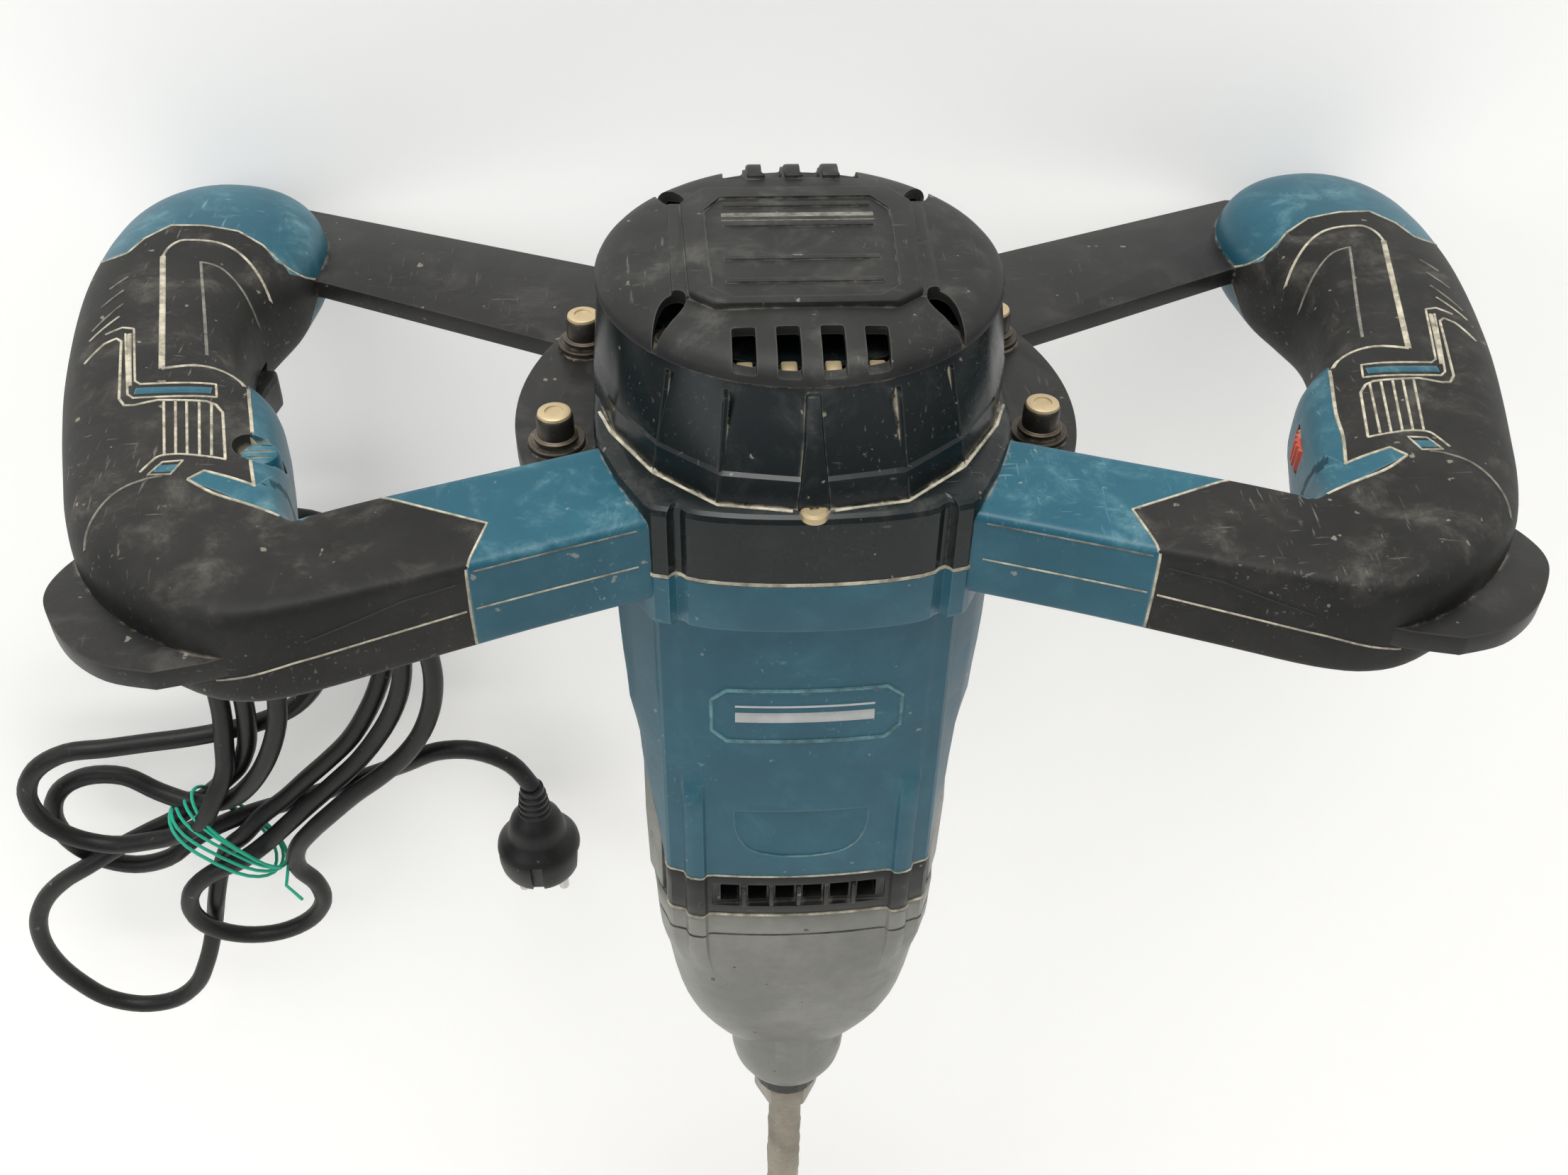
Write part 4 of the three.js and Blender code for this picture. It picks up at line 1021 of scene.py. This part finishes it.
emblem = [(-23, -50.5), (24, -50.5), (28.5, -54.5), (28.5, -67), (24, -71.5), (-23, -71.5), (-27.5, -67),
    (-27.5, -54.5)]
on_front(emblem, 1.5, "pale_teal", "emblem_frame", 0.5, True)
on_front([(-20.5, -57.0), (20.5, -57.0)], 0.9, "silver", "emblem_line")
on_front([(-20.5, -61.6), (20.5, -61.6)], 5.4, "silver", "emblem_plaque")


def dust_layer(outline, low, high, clear, name):
    """The thin line of dried dust in the joint between two shells, at the front only."""
    layer = loft([[(x * 1.004, y * 1.004, z) for x, y in outline] for z in (low, high)])
    keep = box((-60, -90, low - 5), (60, clear, high + 5))
    piece(combine(layer, keep, "INTERSECT"), name, "line")


dust_layer(SKIRT, -3.55, -2.65, -52, "collar_dust")
for label, z in (("upper", -134.8), ("lower", -154.85)):
    outline = [(x, y) for x, y, _ in body_ring(z, BAND_W)]
    dust_layer(outline, z - 0.28, z + 0.28, -56, f"band_dust_{label}")


def on_cap(points, width, ink, name, lift=0.18):
    piece(ribbon([end_cap], [(x, y, 60) for x, y in points], width, (0, 0, -1), lift), name, ink)


on_cap([(-21.5, 11.6), (21.5, 11.6)], 0.7, "faint", "cap_underline")
on_cap([(-21.5, 15.0), (21.5, 15.0)], 3.6, "faint", "cap_plaque", 0.1)


# ---- handles ----
# Each row: outer edge x, y, inner edge x, y, underside, top at the outer edge, top at the inner edge, squareness.
LIMB = [
    (36, -65.0, 50, -33.0, -13, 15, 17, 13), (43.6, -67.8, 58, -36, -13, 15, 17, 13),
    (70, -77.3, 82, -45, -13, 15, 17.2, 13), (88, -84, 100, -51.7, -13.3, 15.2, 17.4, 13),
    (110, -92, 115, -57.3, -14.2, 15.6, 17.6, 12), (131, -99.5, 130, -63, -15.5, 16.2, 17.8, 9),
    (145, -102.5, 133.5, -64.5, -15.5, 17, 18.4, 7), (158, -99.5, 136, -61.5, -15.8, 18, 19.2, 5.5),
    (175, -88, 137.2, -56.5, -16.4, 19, 19.8, 4.4), (188, -73, 138.6, -49, -18, 20, 20.4, 3.8),
    (196.5, -55, 141, -38.5, -19.5, 21, 20.8, 3.4), (203, -35, 144.8, -22, -20.5, 21.6, 21.2, 3.1),
    (209, -15, 149.6, -6.5, -21.5, 21.8, 21.8, 2.9), (214, 5, 160.2, 6.4, -22, 21.8, 22, 2.8),
    (218, 26, 165.2, 27, -22, 21.6, 22, 2.8), (221, 45, 165.2, 42, -22, 21.4, 21.8, 2.8),
    (222.8, 62, 161, 55, -22, 21.4, 21.6, 2.8), (223, 80, 157, 66, -22, 21.4, 21.4, 2.8),
    (222.4, 92, 154.8, 77, -22, 21.4, 21.4, 2.7), (220.6, 104, 153, 89, -21.6, 21, 21, 2.6),
    (216.6, 114, 153.6, 101, -20.4, 20, 20, 2.5), (210, 121.6, 157, 111.4, -18, 18, 18, 2.4),
    (202, 126.8, 163, 119.4, -14, 14.4, 14.4, 2.3), (194, 129.6, 171, 125.2, -9, 9.4, 9.4, 2.2),
    (186.5, 130.6, 180, 129.2, -3.4, 3.8, 3.8, 2),
]


def limb_rings(side, rows, inset=0.0):
    """The handle's rings through rows like those of LIMB, drawn in by inset."""
    sides = 64
    rings = []
    for ox, oy, ix, iy, low, high_out, high_in, power in rows:
        outer, inner = Vector((ox, oy)), Vector((ix, iy))
        across = (inner - outer) / 2
        middle = (inner + outer) / 2
        across *= (across.length - inset) / across.length
        ring = []
        for k in range(sides):
            a = math.tau * (k + 0.5) / sides
            u = math.copysign(abs(math.cos(a)) ** (2 / power), math.cos(a))
            v = math.copysign(abs(math.sin(a)) ** (2 / power), math.sin(a))
            at = middle + across * u
            top = high_out + (high_in - high_out) * (u + 1) / 2
            z = v * (top - inset) if v > 0 else -v * (low + inset)
            ring.append((side * at.x, at.y, z))
        rings.append(ring)
    return rings


def sided(side, points):
    return [(side * p[0], *p[1:]) for p in points]


REAR_TOP = [(250, 46), (214, 54), (206.5, 61), (204, 72), (197.5, 81), (187, 80.5), (175, 77), (166, 69), (157.5, 56),
    (153, 47), (130, 38)]
REAR_MIDDLE = [(250, 102), (224, 99), (216, 98), (208, 97.5), (200, 97), (190, 96), (180, 93), (172, 90), (165, 87),
    (157, 84), (130, 80)]
ARROW = [(20, -120), (88.6, -120), (88.2, -84), (84.2, -68), (114, -57), (118, -30), (20, -10)]
TONGUE = [(145.0, -54.0), (158.8, -49.4), (162.3, -53.0), (145.4, -62.3), (131, -67.2), (124, -56), (134, -44),
    (143, -46)]


def rear_tool(side):
    tail = [(130, 150), (250, 150)]
    return loft([sided(side, [(x, y, z) for x, y in outline + tail]) for z,
        outline in ((-30, REAR_TOP), (-24, REAR_TOP), (0, REAR_MIDDLE), (24, REAR_TOP), (30, REAR_TOP))])


def plan_tool(side, outline):
    return prism(sided(side, outline), -40, 40)


BULGE = [(157.6, -3.0), (156.4, -6.8), (150.9, -29), (148.8, -41.5), (145.6, -54), (124, -44), (130, 4), (152, 12)]


def copy_of(thing):
    made = thing.copy()
    made.data = thing.data.copy()
    bpy.context.scene.collection.objects.link(made)
    return made


def rear_joint(thing, side):
    """Where the slanted cut in front of the rear shell meets the surface: (point, normal) pairs, for the top half."""
    tree = BVHTree.FromObject(thing, bpy.context.evaluated_depsgraph_get())
    spots = []
    for top, middle in zip(dense([(*p, 24) for p in REAR_TOP], 0.8), dense_like(REAR_TOP, REAR_MIDDLE, 0.8)):
        start, end = Vector((side * top[0], top[1], 24)), Vector((side * middle[0], middle[1], 0))
        hit = tree.ray_cast(start * MM, (end - start).normalized(), (end - start).length * MM)
        if hit[0] is not None:
            spots.append((hit[0] / MM, hit[1]))
    return spots


def dense_like(pattern, points, step):
    """points divided as dense divides pattern."""
    made = []
    for a, b, c, d in zip(pattern, pattern[1:], points, points[1:]):
        parts = max(1, math.ceil(math.dist(a, b) / step))
        made += [tuple(p + (q - p) * i / parts for p, q in zip(c, d)) for i in range(parts)]
    return made + [tuple(points[-1])]


def make_handle(side):
    name = "left" if side < 0 else "right"
    rows = smooth(LIMB, 4)
    whole = loft(limb_rings(side, rows))
    cavity = loft(limb_rings(side, [r for r in rows if -58 < r[1] < 74 and r[0] > 190], 4.5))
    cut(whole, cavity)
    if side < 0:
        cut(whole, box((-188, -5.4, -20.4), (-130, 43.4, -5.6)))
        cut(whole, rod(5.9, 40, 2.5, 40, BUTTON_AT), rod(6.5, 40, 14.6, 40, BUTTON_AT))
    else:
        cut(whole, rod(14.7, 64, -1.2, 7.7, DIAL_AT))
    arm = combine(copy_of(whole), plan_tool(side, ARROW), "INTERSECT")
    rear = combine(copy_of(whole), rear_tool(side), "INTERSECT")
    tongue = combine(copy_of(whole), plan_tool(side, TONGUE), "INTERSECT")
    bulge = combine(copy_of(whole), plan_tool(side, BULGE), "INTERSECT")
    rubber = cut(copy_of(whole), plan_tool(side, ARROW), rear_tool(side), plan_tool(side, TONGUE),
        plan_tool(side, BULGE))
    joint = rear_joint(whole, side)
    discard(whole)
    piece(arm, f"{name}_arm", "teal", replaces=(f"{name}_handle_upper", f"{name}_handle_lower"),
        sharp=30)
    piece(rear, f"{name}_rear_shell", "teal", replaces=(f"{name}_rear_cap",), sharp=30)
    piece(tongue, f"{name}_inner_corner", "teal", sharp=30)
    piece(rubber, f"{name}_grip_cover", "rubber", replaces=(f"{name}_grip_upper", f"{name}_grip_lower"),
        sharp=30)
    piece(bulge, f"{name}_inner_bulge", "teal", sharp=30)
    left, right = sorted((side * 219, side * 224.4))
    nub = bevelled(box((left, 97.5, -3), (right, 103.5, 4)), 1.6, 3)
    piece(nub, f"{name}_rear_nub", "band")
    surfaces = [arm, rear, tongue, rubber, bulge]

    def line(label, points, width, ink="line", closed=False, toward=(0, 0, -1), lift=0.22):
        points = [(side * p[0], p[1], p[2] if len(p) > 2 else 22) for p in points]
        piece(ribbon(surfaces, points, width, toward, lift, closed), f"{name}_{label}", ink)

    arch = [(157.5, -6.0), (160, -2.4), (162.8, -0.2), (167, 0.6), (172, 0.1), (180.5, -2.4)]
    stroke = [(180.5, -2.4), (188, 30), (195.6, 62.5)]
    crown = smooth([(195.6, 62.5), (195.2, 67.5), (193.4, 71.4), (190.3, 72.8), (181, 71.4), (173.2, 66.5),
        (164.4, 56.1), (157.7, 43.8)], 5)
    line("arch_foot", smooth(arch, 4), 1.5)
    line("arch_stroke", stroke, 2.5)
    line("arch_crown", crown, 1.3)
    line("inner_hook", [(170.6, 7.6), (183.1, 58.8)], 1.3, "faint")
    line("inner_curve", smooth([(183.1, 58.8), (176.7, 56.4), (169.8, 49.6), (163.9, 41.9)], 5), 0.9, "faint")
    line("outer_step", [(204.6, 4.8), (200.5, 12.4), (197.4, 14.4), (195.6, 12.6), (188.9, -16.4), (186.6, -19.8),
        (184, -20.0), (177.9, -17.8), (164.8, -18.1), (162.0, -19.4), (159.6, -22.7), (154.6, -43.8)], 1.15)
    line("inner_step", [(201.6, 17.4), (197.2, 20.2), (193.6, 19.2), (186.5, -8.3), (184.6, -10.0), (164.2, -9.2),
        (162.6, -15.7), (185, -16.6), (187.0, -14.6), (195.4, 16.6)], 1.0)
    line("step_fill", [(194.2, 16.4), (190.6, 1.6), (187.4, -10.8)], 1.9)
    line("teal_bar", [(164.7, -12.5), (185.3, -13.2)], 4.4, "teal", lift=0.16)
    for i, (a, b) in enumerate(zip(((176.2, -18.6), (173, -18.7), (170, -18.8), (166.6, -18.9), (163.3, -19.1)),
            ((170.6, -42.4), (167.6, -42.5), (164.6, -42.6), (161.4, -42.7), (158.3, -42.8)))):
        line(f"bar_{i + 1}", [a, b], 1.1)
    line("bars_edge", smooth([(175.2, -50.0), (173.6, -46.4), (171.8, -43.3), (168, -42.4), (163.5, -42.7),
        (154.3, -44.1)], 4), 0.9)
    line("teal_chip", [(166.2, -48.1), (171.6, -48.5)], 4.2, "teal", lift=0.16)
    line("chip_edge", [(172.9, -51.1), (170.3, -45.8), (165.1, -45.1), (167.1, -50.9)], 0.8, closed=True)
    line("bulge_edge", smooth([(156.4, -6.8), (150.9, -29), (148.8, -41.5), (145.4, -54)], 4), 1.3)
    line("tongue_top", [(162.3, -53.0), (158.8, -49.4), (145.0, -54.0)], 1.2)
    line("tongue_foot", smooth([(162.3, -53.0), (154.5, -58.6), (145.4, -62.3), (137, -65.4)], 4), 1.2)
    line("arrow_top", [(112.5, -58.0), (84.2, -68.2), (88.0, -83.3)], 1.0)
    line("corner_curve", smooth([(184.5, -74.0), (184.3, -68.5), (182, -61.5), (178.1, -56), (172.5, -52.6),
        (169.0, -51.6)], 5), 0.9, "faint")
    for i, (a, b) in enumerate((((203.4, 50.6), (207.6, 44.6)), ((202.6, 42.4), (207.4, 34.2)),
            ((200.6, 34.0), (206.8, 21.4)), ((199.8, 26.8), (206.2, 16.2)))):
        line(f"slot_{i + 1}", [a, b], 0.8, "faint" if i < 3 else "line")
    piece(strip(joint, 1.0, 0.22), f"{name}_rear_edge", "line")
    piece(strip([(Vector((p.x, p.y, -p.z)), Vector((n.x, n.y, -n.z))) for p, n in joint], 0.8, 0.2),
        f"{name}_rear_edge_low", "faint")
    ahead = (0, 1, 0)
    line("arm_seam", [(46, -120, 0.4), (87.2, -120, 0.4)], 0.7, toward=ahead)
    line("cover_seam", [(89.6, -130, 0.2), (131, -130, -2.2), (150, -130, -4.8)], 0.8, toward=ahead)
    line("arm_ledge", [(46, -120, 12.4), (86.8, -120, 12.6)], 0.7, "faint", toward=ahead)
    line("arrow_front", [(88.4, -120, 13.6), (88.6, -120, 0), (88.4, -120, -11.6)], 1.0, toward=ahead)
    line("cover_groove", [(91, -130, 9.6), (104, -130, 8.8), (118, -130, 5.6), (127, -130, 3.8)], 0.8, "dark",
        toward=ahead)
    out = (-side, 0, 0)
    seam = [(side * 300, y, 0) for y in range(-96, 96, 6)]
    piece(ribbon([rubber], seam, 0.7, out, 0.12), f"{name}_outer_seam", "faint")


make_handle(-1)
make_handle(1)


def make_controls():
    outline = [(-167.4, -3.6)] + smooth([(-165.4, 2), (-163.6, 9), (-163.4, 18), (-162.9, 28), (-161.1, 37)], 5) + [
        (-162.2, 41.6), (-177.4, 41.6), (-177.4, -3.6)]
    trigger = bevelled(prism(outline, -18.6, -7.4), 1.3, 3)
    piece(trigger, "trigger_lever", "band", "trigger", replaces=("trigger",))
    button = turned([(0, 6.3), (5.3, 6.3), (5.3, 14.8), (4.9, 15.9), (4.0, 16.6), (2.4, 16.9), (0, 17)], BUTTON_AT,
        48)
    for i in (-1, 0, 1):
        cut(button, box((-153, -36 + 2.6 * i - 0.5, 16.3), (-143, -36 + 2.6 * i + 0.5, 18)))
    piece(button, "lock_button_cap", "teal", "lock_button", replaces=("lock_button",))
    rim = []
    teeth = 34
    for i in range(teeth):
        for share, r in ((0.0, 13.1), (0.25, 13.95), (0.62, 13.95), (0.87, 13.1)):
            a = math.tau * (i + share) / teeth
            rim.append((156 + r * math.cos(a), -30 + r * math.sin(a)))
    dial = bevelled(prism(rim, -0.3, 6.8), 0.4, 2, 50)
    for i in range(10):
        a = math.radians(30 + 27 * i)
        mark = turned([(0, 6.2), (0.9, 6.2), (0.9, 7.5), (0, 7.5)],
            (156 + 9.5 * math.cos(a), -30 + 9.5 * math.sin(a)), 12)
        cut(dial, mark)
    piece(dial, "dial_wheel", "red", "speed_dial", replaces=("speed_dial",))


make_controls()


# ---- spindle nut, shaft and paddle ----
NUT_CORNER = 12.7
PADDLE_FOOT = -866.0
BLADE_FOOT, BLADE_RISE, BLADE_TWIST = -860.7, 187, 200
BLADE_ROOT, BLADE_WIDTH = 6.3, 57.7
RING_R, RING_TUBE, RING_Z = 67.3, 2.7, -863.6


def lumpy(thing, size, scale, clear=0.0):
    """Uneven crust: each point moves along its normal by noise; clear keeps the crust thin."""
    data = thing.data
    normals = [v.normal.copy() for v in data.vertices]
    for v, n in zip(data.vertices, normals):
        bump = noise.noise(v.co * scale) * 0.6 + noise.noise(v.co * scale * 2.7) * 0.4
        v.co += n * (max(-0.1, bump) * size - clear) * MM
    return thing


def make_paddle():
    x, y = SPINDLE
    nut = prism([(x + NUT_CORNER * math.cos(math.radians(60 * i)),
        y + NUT_CORNER * math.sin(math.radians(60 * i))) for i in range(6)], -305, -293.4)
    chamfer = turned([(0, -306), (11.4, -306), (13.1, -303.2), (13.1, -295.2), (11.4, -293.2), (0, -293.2)], SPINDLE,
        48)
    nut = combine(nut, chamfer, "INTERSECT")
    cut(nut, rod(7.2, 32, -310, -290, SPINDLE))
    piece(bevelled(nut, 0.3, 2), "paddle_hex_nut", "nut", "spindle", replaces=("paddle_nut",))
    rows = []
    levels = [-305.6 - 4.0 * i for i in range(140)] + [PADDLE_FOOT]
    for z in levels:
        rows.append((6.7 + 0.2 * noise.noise(Vector((0, 0, z * 0.05))), z))
    shaft = turned([(0, -274.5), (6.9, -274.5), (6.9, -305.2)] + rows + [(0, PADDLE_FOOT)], SPINDLE, 40)
    lumpy(shaft, 1.1, 150)
    piece(shaft, "paddle_rod", "dusty", "spindle", replaces=("paddle_shaft",), sharp=60)


def make_blade(number, start):
    x, y = SPINDLE
    rings = []
    steps = 52
    for i in range(steps + 1):
        rise = i / steps
        outer = BLADE_ROOT + BLADE_WIDTH * (1 - 0.55 * rise ** 2)
        turn = math.radians(start + BLADE_TWIST * rise)
        across = [BLADE_ROOT + (outer - BLADE_ROOT) * k / 9 for k in range(10)]
        ring = []
        for side, radii in ((1, across), (-1, across[::-1])):
            for r in radii:
                thick = 1.7 if r < outer - 1 else 1.0
                a = turn + side * thick / r
                ring.append((x + r * math.cos(a), y + r * math.sin(a), BLADE_FOOT + BLADE_RISE * rise))
        rings.append(ring)
    blade = lumpy(loft(rings), 1.5, 70)
    piece(blade, f"mixing_blade_{number}", "dusty", "spindle", replaces=(f"paddle_blade_{number}",),
        sharp=55)


def make_ring():
    x, y = SPINDLE
    turns = [math.tau * k / 14 for k in range(14)]
    section = [(RING_R + RING_TUBE * math.cos(a), RING_Z + RING_TUBE * math.sin(a)) for a in turns]
    ring = turned(section, SPINDLE, 120)
    for angle in (0, 120, 240):
        c, s = math.cos(math.radians(angle)), math.sin(math.radians(angle))
        outline = [(x + r * c - w * s, y + r * s + w * c) for r, w in ((5, -4), (66.5, -4), (66.5, 4), (5, 4))]
        combine(ring, bevelled(prism(outline, -865.8, -861.5), 0.9, 2), "UNION")
    lumpy(ring, 0.6, 90)
    piece(ring, "mixing_ring", "dusty", "spindle", replaces=("paddle_ring",), sharp=45)


make_paddle()
make_ring()
for number, start in enumerate((20, 140, 260)):
    make_blade(number + 1, start)


# ---- CAD nodes that keep their shape ----
KEPT = {
    "steel": ("motor_shaft", "motor_bearing_upper", "motor_bearing_lower", "countershaft", "countershaft_gear",
              "output_gear", "spindle_bearing_upper", "spindle_bearing_lower"),
    "copper": ("commutator", "field_coil_front", "field_coil_rear"),
    "lamination": ("armature_core", "stator_core"),
    "carbon": ("carbon_brush_left", "carbon_brush_right"),
    "cap": ("cooling_fan", "switch_body", "speed_controller"),
    "rubber": ("spindle_seal",),
    "plate": ("output_spindle",),
}
for ink, names in KEPT.items():
    for name in names:
        NODES[name].data.materials.clear()
        NODES[name].data.materials.append(INK[ink])
